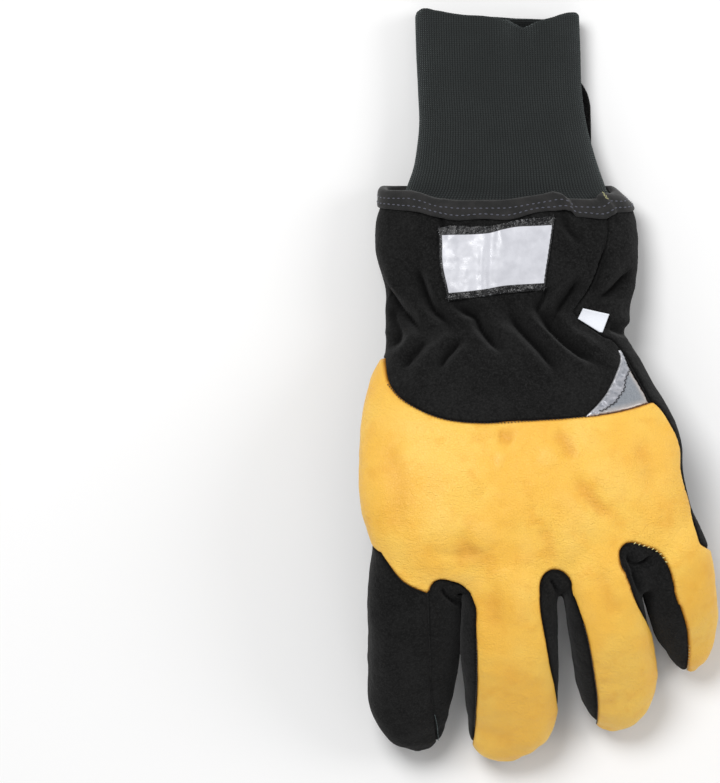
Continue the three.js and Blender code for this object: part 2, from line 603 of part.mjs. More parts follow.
// The origin is the middle of the glove's box, on the floor.
const box = new THREE.Box3().setFromObject(glove);
const middle = box.getCenter(new THREE.Vector3());
glove.position.set(-middle.x, -middle.y, -box.min.z);

export default glove;
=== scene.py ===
import math
import bmesh
import bpy
import numpy as np
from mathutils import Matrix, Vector, noise
from mathutils.bvhtree import BVHTree
from mathutils.kdtree import KDTree


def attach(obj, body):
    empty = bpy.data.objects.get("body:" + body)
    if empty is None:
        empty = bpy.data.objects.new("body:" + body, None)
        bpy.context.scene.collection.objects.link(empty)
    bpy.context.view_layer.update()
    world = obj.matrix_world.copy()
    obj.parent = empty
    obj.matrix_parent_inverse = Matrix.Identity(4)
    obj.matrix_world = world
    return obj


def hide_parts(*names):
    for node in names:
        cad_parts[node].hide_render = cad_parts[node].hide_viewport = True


# A firefighter's glove, palm down. Shapes are worked out in millimetres and made in metres.
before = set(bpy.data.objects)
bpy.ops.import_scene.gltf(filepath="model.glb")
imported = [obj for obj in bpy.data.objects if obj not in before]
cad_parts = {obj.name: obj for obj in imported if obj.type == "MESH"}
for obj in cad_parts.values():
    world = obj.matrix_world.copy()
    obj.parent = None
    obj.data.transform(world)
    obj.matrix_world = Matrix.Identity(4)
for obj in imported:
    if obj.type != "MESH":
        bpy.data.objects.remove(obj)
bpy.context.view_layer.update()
scene = bpy.context.scene
print("frame loaded")

hand = {
    "palmWidth": 144.0,  # the sides below are shares of it
    "bodyLength": 178.0,  # from the gauntlet's rim to the webs, the alongs below are shares of it
    "handHeight": 70.0,
    "middleX": -0.62,
    "rimY": 88.81,
    "floor": 1.5,  # the gauntlet stands on its folded tape
    "roundness": 2.5,  # 2 is an ellipse
    "sideSeam": -0.32,
    "voxel": 1.0,
    "evening": 16,
    "webEvening": 50,
    "bridging": 3.2,  # how far from a crease between two tubes the leather bridges it
    "softness": 0.3,  # how far the leather waves in and out
    "waves": {"bulge": 2.2, "bulgeTurn": 0.055, "ripple": 0.8, "rippleTurn": 0.17, "atRim": 0.2},
    "clear": 0.02,  # the least height over the floor
}

bodyEdges = np.array([  # along, left, right
    (-.06, -.484, .240), (0, -.484, .243), (.04, -.4875, .292), (.071, -.5, .308), (.109, -.503, .316),
    (.162, -.5, .314), (.212, -.4875, .312), (.255, -.478, .296), (.316, -.475, .285), (.367, -.472, .276),
    (.42, -.475, .313), (.48, -.5125, .354), (.556, -.5375, .409), (.632, -.547, .444), (.708, -.55, .4515),
    (.784, -.547, .473), (.86, -.525, .4995), (.923, -.5, .503), (.973, -.469, .483), (1.013, -.412, .438),
])
bodyHeights = np.array([  # along, bottom, top, roll
    (0, -.09, .44, 0), (.065, -.09, .48, 0), (.14, -.08, .514, 0), (.216, -.06, .53, 0),
    (.292, -.02, .55, 0), (.355, .043, .62, 0), (.419, .086, .714, 1), (.482, .143, .8, 2),
    (.558, .229, .886, 3), (.633, .3, .943, 4), (.709, .357, .986, 5), (.785, .386, 1.0, 6),
    (.861, .414, .986, 7), (.924, .429, .95, 7), (.975, .457, .886, 7), (1.013, .5, .8, 6),
])
fingers = {  # rows: along, side, height, width, depth, left seam, right seam
    "index": {"side": -.369, "along": .861, "length": 97.0, "width": 42, "depth": 32, "roll": 6, "web": 0,
              "rows": [
        (-.1, .03, .7, .6, .6, -1.3, .3), (.04, 0, .712, .88, .92, -1.3, .3),
        (.16, -.032, .721, .97, 1, -1.3, .3), (.32, -.064, .679, .955, .988, -1.3, .33),
        (.502, -.069, .579, .945, .95, -1.3, .37), (.662, -.08, .43, .9, .906, -1.3, .46),
        (.776, -.091, .31, .868, .875, -1.3, .56), (.877, -.064, .205, .707, .812, -1.3, .7),
        (.959, 0, .15, .429, .594, -1.3, 1.0), (1, .021, .13, .171, .312, -1.3, 1.3)]},
    "middle": {"side": -.088, "along": .861, "length": 101.3, "width": 44, "depth": 32, "roll": 2, "web": 2,
               "rows": [
        (-.1, 0, .73, .6, .6, -.72, .64), (.04, 0, .748, .86, .92, -.72, .64),
        (.174, .01, .757, .955, 1, -.72, .64), (.348, .03, .707, .955, 1, -.735, .6),
        (.522, .036, .607, 1.003, .969, -.727, .75), (.674, .046, .45, .992, .925, -.773, .86),
        (.804, .041, .29, .91, .863, -.86, 1.05), (.904, 0, .19, .695, .75, -1.05, 1.3),
        (.965, 0, .14, .45, .562, -1.3, 1.3), (1, .01, .12, .184, .312, -1.5, 1.5)]},
    "ring": {"side": .181, "along": .836, "length": 92.2, "width": 35, "depth": 31, "roll": 10, "web": 2,
             "rows": [
        (-.1, -.03, .7, .65, .6, -.7, .6), (.04, 0, .71, .9, .92, -.7, .6),
        (.191, .039, .714, 1.02, 1.006, -.7, .55), (.383, .095, .664, .98, 1, -.64, .73),
        (.541, .18, .564, .99, .968, -.62, .97), (.675, .257, .425, .98, .929, -.64, 1.2),
        (.785, .302, .3, .926, .89, -.66, 1.3), (.88, .283, .2, .771, .813, -.74, 1.3),
        (.957, .219, .14, .489, .581, -1, 1.3), (1, .167, .12, .206, .323, -1.5, 1.5)]},
    "little": {"side": .388, "along": .823, "length": 68.5, "width": 32, "depth": 30, "roll": 24, "web": 3,
               "rows": [
        (-.15, -.12, .64, .55, .5, -.6, 1.3), (.04, .02, .615, .85, .8, -.6, 1.3),
        (.195, .113, .6, .97, .967, -.55, 1.3), (.39, .197, .536, .99, .967, -.45, 1.3),
        (.571, .267, .42, .96, .947, -.42, 1.3), (.721, .309, .29, .844, .907, -.36, 1.3),
        (.844, .345, .2, .605, .8, -.4, 1.3), (.935, .352, .145, .394, .6, -.7, 1.3),
        (1, .366, .12, .183, .333, -1.5, 1.5)]},
    "thumb": {"side": -.425, "along": .532, "length": 79.5, "width": 36, "depth": 27, "roll": 0, "web": 0,
              "rows": [
        (0, 0, .514, .825, .889, -1, 1), (.141, .05, .443, .925, .963, -1, 1),
        (.311, .2, .343, .988, 1.007, -1, 1), (.48, .45, .25, 1, 1, -1, 1),
        (.633, .775, .196, .975, .963, -1, 1), (.768, 1.1, .181, .9, .933, -1, 1),
        (.876, 1.35, .176, .725, .874, -1, 1), (.955, 1.525, .171, .475, .667, -1, 1),
        (1, 1.625, .171, .2, .37, -1, 1)]},
}
fingerRings = 160
bulges = {  # how far a finger's side stands out over its tube: along, millimetres
    ("index", 1): [(.12, 0), (.26, 1.2), (.36, 2.1), (.55, 2.1), (.62, 1.7), (.72, .6), (.83, .1),
                   (.89, 1.3), (.94, 1.6), (1.02, 1.2)],
    ("middle", -1): [(.12, 0), (.26, 1.0), (.34, 1.7), (.52, 1.7), (.6, .7), (.72, 0), (.8, .4),
                     (.885, 1.8), (1.0, 1.6)],
    ("middle", 1): [(.12, 0), (.26, -.6), (.36, -1.2), (.8, -1.1), (.88, 0)],
    ("ring", -1): [(.3, 0), (.42, .5), (.58, 1.1), (.69, 1.9), (.8, 2.5), (.9, 1.9), (.96, 1.3)],
}
corner = "corner"  # a sharp corner of an outline
goldOutline = [
    (-.472, .425, corner), (-.458, .492), (-.425, .524), (-.375, .55), (-.3, .575), (-.205, .586),
    (-.05, .582), (.1, .574), (.2, .566), (.3, .549), (.355, .534, corner), (.38, .553), (.415, .6),
    (.438, .65), (.44, .704), (.462, .772), (.484, .84), (.504, .889, corner), (.62, .95, corner),
    (.62, 1.045, corner), (.436, 1.045, corner), (.426, 1.017), (.417, .988), (.407, .96), (.394, .937),
    (.378, .918), (.359, .906), (.328, .897), (.302, .89), (.28, .888), (.264, .893), (.254, .903),
    (.251, .919), (.2525, .94), (.264, .965), (.28, .996, corner), (.111, 1.021, corner), (.101, .987),
    (.09, .972), (.074, .961), (.055, .956), (.039, .956), (.021, .965), (.01, .978), (.005, .996),
    (.005, 1.017, corner), (-.197, 1.039, corner), (-.206, 1.016), (-.226, .998), (-.249, .987),
    (-.277, .981), (-.299, .978), (-.322, .984), (-.333, .998), (-.339, 1.016, corner), (-.41, .99),
    (-.47, .935), (-.52, .865), (-.66, .83, corner), (-.66, .43, corner),
]
fingerOutlines = {  # the gold on the back of each finger
    "middle": [
        (-.112, .948, corner), (-.205, 1.019, corner), (-.197, 1.039), (-.194, 1.067), (-.195, 1.107),
        (-.193, 1.153), (-.191, 1.198), (-.192, 1.289), (-.195, 1.358), (-.2, 1.397, corner),
        (-.253, 1.454, corner), (-.112, 1.517, corner), (.138, 1.441, corner), (.062, 1.335, corner),
        (.062, 1.31), (.055, 1.249), (.042, 1.198), (.023, 1.12), (.007, 1.047), (.005, 1.017, corner),
        (-.019, .948, corner)],
    "ring": [
        (.2, .923, corner), (.103, .994, corner), (.111, 1.021), (.124, 1.056), (.138, 1.09), (.151, 1.129),
        (.17, 1.21), (.183, 1.279), (.186, 1.314), (.185, 1.35, corner), (.122, 1.416, corner),
        (.325, 1.492, corner), (.512, 1.34, corner), (.512, 1.163, corner), (.366, 1.148, corner),
        (.356, 1.13), (.334, 1.079), (.299, 1.027), (.28, .996), (.264, .965, corner)],
    "little": [
        (.481, .897, corner), (.394, .937, corner), (.407, .96), (.417, .988), (.426, 1.017), (.439, 1.043),
        (.452, 1.074), (.462, 1.099), (.469, 1.143), (.47, 1.163), (.466, 1.216, corner),
        (.459, 1.264, corner), (.7, 1.264, corner), (.7, .897, corner)],
}
gauntletOutline = [
    (-.66, -.1, corner), (.21, -.1, corner), (.2, .18), (.155, .26), (.11, .31, corner), (.2, .368),
    (.25, .4), (.3, .46), (.37, .56, corner), (.3, .62, corner), (-.3, .62), (-.45, .53),
    (-.472, .44, corner), (-.66, .45, corner),
]
trimOutline = [
    (.245, .4, corner), (.255, .42), (.24, .47), (.222, .5), (.19, .535), (.15, .568, corner),
    (.15, .64, corner), (.4, .6, corner), (.35, .545), (.33, .513), (.315, .492), (.297, .469),
    (.282, .449), (.262, .412, corner),
]
bandOutline = [  # the worn band of the silver patch, between the gauntlet's edge and the wavy stitches
    (.1, .4, corner), (.27, .4, corner), (.2848, .455, corner), (.2772, .469), (.2712, .487), (.2661, .506),
    (.2464, .527), (.2223, .545), (.1919, .559, corner), (.17, .6, corner), (.1, .6, corner),
]
wrapOutline = [
    (-.7, -.1, corner), (-.27, -.1, corner), (-.27, .2), (-.3, .33), (-.36, .4, corner), (-.7, .42, corner),
]
palmEdgeOutline = [
    (.1, -.1, corner), (.8, -.1, corner), (.8, 1.0, corner), (.51, 1.0, corner), (.45, .9), (.3, .56),
    (.1, .34, corner),
]
indexOutline = [
    (-.8, .82, corner), (-.5, .84), (-.46, .93), (-.41, .98), (-.342, 1.012, corner), (-.336, 1.15),
    (-.326, 1.29), (-.307, 1.4), (-.28, 1.5, corner), (-.8, 1.5, corner),
]


# tables and curves

def curveAt(xs, ys, at):  # a smooth curve through a table's rows, flat past its ends
    xs, ys = np.asarray(xs, float), np.asarray(ys, float)
    slope = np.gradient(ys, xs, axis=0)
    at = np.clip(np.asarray(at, float), xs[0], xs[-1])
    i = np.clip(np.searchsorted(xs, at, side="right") - 1, 0, len(xs) - 2)
    width = xs[i + 1] - xs[i]
    t = (at - xs[i]) / width
    shape = t.shape + (1,) * (ys.ndim - 1)
    t, width = t.reshape(shape), width.reshape(shape)
    return (ys[i] * (2 * t**3 - 3 * t**2 + 1) + slope[i] * width * (t**3 - 2 * t**2 + t)
            + ys[i + 1] * (3 * t**2 - 2 * t**3) + slope[i + 1] * width * (t**3 - t**2))


def smoothStep(low, high, value):
    t = np.clip((value - low) / (high - low), 0, 1)
    return t * t * (3 - 2 * t)


def mound(distance, width):  # 1 where the distance is 0, and next to nothing past twice the width
    return np.exp(-(distance / width) ** 2)


def softMax(a, b, radius):
    h = np.clip(0.5 + 0.5 * (a - b) / radius, 0, 1)
    return b + (a - b) * h + radius * h * (1 - h)


def runOf(line):  # how far along a line each of its points is
    return np.concatenate([[0], np.cumsum(np.linalg.norm(np.diff(line, axis=0), axis=1))])


def ovalShares(angle):  # shares across and upward of a section's outline
    power = 2 / hand["roundness"]
    u = np.sign(np.cos(angle)) * np.abs(np.cos(angle)) ** power
    v = np.sign(np.sin(angle)) * np.abs(np.sin(angle)) ** power
    return u, v


def planX(side):
    return np.asarray(side) * hand["palmWidth"] + hand["middleX"]


def planY(along):
    return hand["rimY"] - np.asarray(along) * hand["bodyLength"]


def closedCurve(corners, step):  # an outline in millimetres, smooth but for the corners marked sharp
    flat = np.column_stack([planX([c[0] for c in corners]), planY([c[1] for c in corners])])
    sharp = [k for k, c in enumerate(corners) if len(c) > 2]
    flat = np.roll(flat, -sharp[0], axis=0)
    stops = [k - sharp[0] for k in sharp] + [len(flat)]
    flat = np.vstack([flat, flat[:1]])
    line = []
    for low, high in zip(stops[:-1], stops[1:]):
        part = flat[low:high + 1]
        run = runOf(part)
        line.append(curveAt(run, part, np.linspace(0, run[-1], max(int(run[-1] / step), 1) + 1)[:-1]))
    return np.vstack(line)


def segmentDistance(points, ends):  # distance from points to an open line in plan, and how far along it
    best = np.full(len(points), 1e9)
    where = np.zeros(len(points))
    total = 0.0
    for a, b in zip(ends[:-1], ends[1:]):
        ab = b - a
        length = np.linalg.norm(ab)
        t = np.clip(((points - a) @ ab) / (length**2 + 1e-12), 0, 1)
        d = np.linalg.norm(points - (a + t[:, None] * ab), axis=1)
        nearer = d < best
        best[nearer] = d[nearer]
        where[nearer] = (total + t * length)[nearer]
        total += length
    return best, where / max(total, 1e-9)


def insideOutline(points, corners):  # how far points are inside an outline in plan, in millimetres
    line = closedCurve(corners, 2.0)
    ends = np.vstack([line, line[:1]])
    best, _ = segmentDistance(points, ends)
    inside = np.zeros(len(points), bool)
    for a, b in zip(ends[:-1], ends[1:]):
        crosses = (a[1] > points[:, 1]) != (b[1] > points[:, 1])
        if crosses.any():
            x = a[0] + (points[:, 1] - a[1]) * (b[0] - a[0]) / (b[1] - a[1] + 1e-12)
            inside ^= crosses & (points[:, 0] < x)
    return np.where(inside, best, -best)


# the skin: tubes for the hand and each finger, joined and evened out

def bodySections(along):
    left, right = (curveAt(bodyEdges[:, 0], bodyEdges[:, k], along) * hand["palmWidth"] for k in (1, 2))
    low, high = (hand["floor"] + curveAt(bodyHeights[:, 0], bodyHeights[:, k], along) * hand["handHeight"]
                 for k in (1, 2))
    roll = -np.radians(curveAt(bodyHeights[:, 0], bodyHeights[:, 3], along))  # its right side down
    centre = np.column_stack([(left + right) / 2 + hand["middleX"], planY(along), (low + high) / 2])
    across = np.column_stack([np.cos(roll), 0 * roll, np.sin(roll)])
    upward = np.column_stack([-np.sin(roll), 0 * roll, np.cos(roll)])
    return {"centre": centre, "across": across, "upward": upward, "a": (right - left) / 2,
            "b": (high - low) / 2}


def fingerSections(finger):
    count = fingerRings
    rows = np.array(finger["rows"], float)
    along = np.linspace(rows[0, 0], 1, count)
    side, height, width, depth, leftSeam, rightSeam = curveAt(rows[:, 0], rows[:, 1:], along).T
    centre = np.column_stack([
        planX(finger["side"]) + side * finger["width"],
        planY(finger["along"]) - along * finger["length"],
        height * hand["handHeight"],
    ])
    direction = np.gradient(centre, axis=0)
    direction /= np.linalg.norm(direction, axis=1)[:, None]
    across = np.column_stack([-direction[:, 1], direction[:, 0], np.zeros(count)])
    across /= np.linalg.norm(across, axis=1)[:, None]
    roll = -math.radians(finger["roll"])
    across = across * math.cos(roll) + np.cross(direction, across) * math.sin(roll)
    return {
        "centre": centre, "across": across, "upward": np.cross(direction, across), "direction": direction,
        "a": width * finger["width"] / 2, "b": depth * finger["depth"] / 2,
        "along": along, "leftSeam": leftSeam, "rightSeam": rightSeam,
    }


def tubeRings(sections, floor, sides):
    u, v = ovalShares(2 * np.pi * (np.arange(sides) + 0.5) / sides)
    rings = (sections["centre"][:, None]
             + sections["across"][:, None] * (sections["a"][:, None] * u)[..., None]
             + sections["upward"][:, None] * (sections["b"][:, None] * v)[..., None])
    rings[..., 2] = np.maximum(rings[..., 2], floor)
    return rings


def closedTube(rings, start):
    rows, sides = rings.shape[:2]
    points = np.vstack([rings.reshape(-1, 3), rings[0].mean(0), rings[-1].mean(0)])
    k = np.arange(sides)
    after = (k + 1) % sides
    faces = []
    for i in range(rows - 1):
        a, b = i * sides, (i + 1) * sides
        faces += np.column_stack([a + k, a + after, b + after]).tolist()
        faces += np.column_stack([a + k, b + after, b + k]).tolist()
    first, last = rows * sides, rows * sides + 1
    end = (rows - 1) * sides
    faces += [(first, n, m) for m, n in zip(k, after)]
    faces += [(last, end + m, end + n) for m, n in zip(k, after)]
    return points, [tuple(int(c) + start for c in f) for f in faces]


def meshData(name, points, faces, scale=0.001):
    mesh = bpy.data.meshes.new(name)
    mesh.from_pydata((np.asarray(points) * scale).tolist(), [], [tuple(map(int, f)) for f in faces])
    mesh.update()
    return mesh


def newObject(name, mesh):
    made = bpy.data.objects.new(name, mesh)
    scene.collection.objects.link(made)
    return made


def applied(made):  # the object's modifiers become its mesh
    graph = bpy.context.evaluated_depsgraph_get()
    mesh = bpy.data.meshes.new_from_object(made.evaluated_get(graph), preserve_all_data_layers=True,
        depsgraph=graph)
    made.modifiers.clear()
    made.data = mesh
    mesh.name = made.name
    return made


def neighbours(faces):  # each edge once, both ways
    pairs = np.vstack([faces[:, [0, 1]], faces[:, [1, 2]], faces[:, [2, 0]]])
    pairs = np.unique(np.sort(pairs, axis=1), axis=0)
    return pairs


def averaged(values, pairs, count):
    total = np.empty_like(values)
    a, b = pairs[:, 0], pairs[:, 1]
    for k in range(values.shape[1]):
        total[:, k] = np.bincount(a, values[b, k], count) + np.bincount(b, values[a, k], count)
    share = np.bincount(a, minlength=count) + np.bincount(b, minlength=count)
    return total / np.maximum(share, 1)[:, None]


def paint(mesh, name, values):  # a number for each point, which materials read
    numbers = values.ravel().astype(np.float32)
    mesh.attributes.new(name, "FLOAT", "POINT").data.foreach_set("value", numbers)


def walled(made, thickness):  # a sheet gets its wall, in millimetres, under the face
    wall = made.modifiers.new("wall", "SOLIDIFY")
    wall.thickness, wall.offset = thickness * 0.001, -1
    applied(made)


def dressed(made, material):
    made.data.materials.clear()
    made.data.materials.append(material)
    made.data.shade_smooth()


def ringFaces(rows, sides):  # the quads between neighbouring rings
    k = np.arange(sides)
    after = (k + 1) % sides
    return np.vstack([np.column_stack([i * sides + k, i * sides + after, (i + 1) * sides + after,
        (i + 1) * sides + k]) for i in range(rows - 1)])


def vertexNormals(points, faces):
    a, b, c = (points[faces[:, k]] for k in range(3))
    flat = np.cross(b - a, c - a)
    normals = np.zeros_like(points)
    for k in range(3):
        for axis in range(3):
            normals[:, axis] += np.bincount(faces[:, k], flat[:, axis], len(points))
    return normals / np.maximum(np.linalg.norm(normals, axis=1), 1e-9)[:, None]


tubes = {name: fingerSections(finger) for name, finger in fingers.items()}
bodyRings = tubeRings(bodySections(np.arange(-.06, 1.0131, .01)), hand["floor"], 96)
allPoints, allFaces = closedTube(bodyRings, 0)
for name, sections in tubes.items():
    points, faces = closedTube(tubeRings(sections, 0.0, 48), len(allPoints))
    allPoints, allFaces = np.vstack([allPoints, points]), allFaces + faces
joined = newObject("joined", meshData("joined", allPoints, allFaces, 1.0))
remesh = joined.modifiers.new("voxels", "REMESH")
remesh.mode = "VOXEL"
remesh.voxel_size = hand["voxel"]
applied(joined)
joined.data.calc_loop_triangles()
skin = np.empty(len(joined.data.vertices) * 3)
joined.data.vertices.foreach_get("co", skin)
skin = skin.reshape(-1, 3)
skinFaces = np.empty(len(joined.data.loop_triangles) * 3, np.int32)
joined.data.loop_triangles.foreach_get("vertices", skinFaces)
skinFaces = skinFaces.reshape(-1, 3)
bpy.data.objects.remove(joined)
a, b, c = (skin[skinFaces[:, k]] for k in range(3))
if np.einsum("ij,ij->i", a, np.cross(b, c)).sum() < 0:
    skinFaces = skinFaces[:, ::-1]
print("skin joined:", len(skin), "points")

pairs = neighbours(skinFaces)
for _ in range(hand["evening"]):
    for step in (0.55, -0.56):
        skin += step * (averaged(skin, pairs, len(skin)) - skin)


def localOf(points, sections, finger):  # where points are in a tube's own sections
    centres = sections["centre"]
    best = np.zeros(len(points), int)
    batch = 20000
    for low in range(0, len(points), batch):
        part = points[low:low + batch]
        apart = (part**2).sum(1)[:, None] - 2 * part @ centres.T + (centres**2).sum(1)
        best[low:low + batch] = apart.argmin(1)
    off = points - centres[best]
    step = np.einsum("ij,ij->i", off, sections["direction"][best])
    along = sections["along"][best] + step / finger["length"]
    rows = sections["along"]
    across, upward = (np.column_stack([np.interp(along, rows, sections[key][:, k]) for k in range(3)])
                      for key in ("across", "upward"))
    centre = np.column_stack([np.interp(along, rows, centres[:, k]) for k in range(3)])
    off = points - centre
    a, b, leftSeam, rightSeam = (np.interp(along, rows, sections[key])
        for key in ("a", "b", "leftSeam", "rightSeam"))
    u, v = np.einsum("ij,ij->i", off, across), np.einsum("ij,ij->i", off, upward)
    made = {"along": along, "a": a, "b": b, "leftSeam": leftSeam, "rightSeam": rightSeam,
            **ringPlace(u, v, a, b)}
    made["off"] = pastEnd(made["off"], np.maximum(rows[0] - along, along - 1) * finger["length"])
    return made


def pastEnd(off, over):  # the distance off a tube, for points past its ends too
    return np.where(over > 0, np.hypot(np.maximum(off, 0), over), off)


# the angle round a section from its right side, and the distance off its outline
def ringPlace(u, v, a, b):
    n = hand["roundness"]
    share = (np.abs(u / a) ** n + np.abs(v / b) ** n) ** (1 / n)
    reach = np.hypot(u, v)
    angle = np.arctan2(np.sign(v) * np.abs(v / b) ** (n / 2), np.sign(u) * np.abs(u / a) ** (n / 2))
    angle = np.where(angle < -np.pi / 2, angle + 2 * np.pi, angle)
    return {"u": u, "v": v, "angle": angle, "off": reach * (1 - 1 / np.maximum(share, 1e-6)),
            "reach": reach}


def placeAll(points):
    along = (hand["rimY"] - points[:, 1]) / hand["bodyLength"]
    sections = bodySections(along)
    off = points - sections["centre"]
    u, v = np.einsum("ij,ij->i", off, sections["across"]), np.einsum("ij,ij->i", off, sections["upward"])
    body = {"along": along, "a": sections["a"], "b": sections["b"],
            **ringPlace(u, v, sections["a"], sections["b"])}
    body["off"] = pastEnd(body["off"], (along - 1.013) * hand["bodyLength"])
    return {"body": body, **{name: localOf(points, tubes[name], fingers[name]) for name in fingers}}


# where two tubes meet, the leather bridges the crease
placed = placeAll(skin)
fingerOff = np.min([np.abs(placed[name]["off"]) for name in fingers], axis=0)
bridge = mound(np.maximum(np.abs(placed["body"]["off"]), fingerOff), hand["bridging"])[:, None]
for _ in range(hand["webEvening"]):
    skin += 0.5 * bridge * (averaged(skin, pairs, len(skin)) - skin)
print("skin evened")

# seams: for each panel a number for every point, over 0 inside the panel

seamAngle = -math.asin(abs(hand["sideSeam"]) ** (hand["roundness"] / 2))
placed = placeAll(skin)
for (name, way), rows in bulges.items():
    at = placed[name]
    others = np.min([placed[other]["off"] for other in placed if other != name], axis=0)
    toSide = smoothStep(-0.2, 1.0, way * at["u"] / at["a"])
    own = smoothStep(-0.6, 1.0, others - at["off"])
    skin[:, 0] += way * toSide * own * curveAt(*np.array(rows).T, at["along"])
plan = skin[:, :2]


def ownOf(name):
    others = np.min([placed[other]["off"] for other in placed if other != name], axis=0)
    return others - placed[name]["off"]


def pastWeb(name):
    at = placed[name]
    start = fingers[name]["rows"][fingers[name]["web"]][0]
    return (at["along"] - start) * fingers[name]["length"]


def backOf(name):
    at = placed[name]
    around = np.minimum(at["angle"] - seamAngle, np.pi - seamAngle - at["angle"]) * at["reach"]
    return np.minimum.reduce([insideOutline(plan, fingerOutlines[name]), around, pastWeb(name),
        ownOf(name) + 1])


def frontOf(name):
    at = placed[name]
    below = np.maximum(seamAngle - at["angle"], at["angle"] - (np.pi - seamAngle)) * at["reach"]
    return np.minimum.reduce([below, pastWeb(name), ownOf(name) + 1, 1.04 * at["a"] - np.abs(at["u"])])


body = placed["body"]
aboveSeam = body["v"] - hand["sideSeam"] * body["b"]
thumbAt = placed["thumb"]
indexAt = placed["index"]
aboveIndex = np.minimum(indexAt["angle"] - seamAngle,
    np.pi - seamAngle - indexAt["angle"]) * indexAt["reach"]
goldField = np.minimum(insideOutline(plan, goldOutline), aboveSeam)
for name in ("middle", "ring", "little"):
    goldField = softMax(goldField, backOf(name), 1.5)
fields = {
    "thumb": ownOf("thumb"),
    "back_leather": goldField,
    "reflective_trim": np.minimum(insideOutline(plan, trimOutline), aboveSeam),
    "gauntlet_back": np.maximum(np.minimum(insideOutline(plan, gauntletOutline), aboveSeam),
        insideOutline(plan, wrapOutline)),
    "index_back": np.minimum.reduce([insideOutline(plan, indexOutline), aboveIndex, ownOf("index") + 1.5]),
    "front_middle": frontOf("middle"),
    "front_ring": frontOf("ring"),
    "palm": np.maximum.reduce([
        np.minimum(-aboveSeam, (0.98 - body["along"]) * hand["bodyLength"]),
        insideOutline(plan, palmEdgeOutline),
        np.minimum(insideOutline(plan, indexOutline), ownOf("index") + 1.5),
        frontOf("index"), frontOf("little")]),
    "thumb_back": (thumbAt["v"] - 0.25 * thumbAt["b"]),
    "side_wall_index_middle": -placed["middle"]["u"],
    "side_wall_middle_ring": -placed["ring"]["u"],
}
fieldNames = list(fields)
print("seams placed")
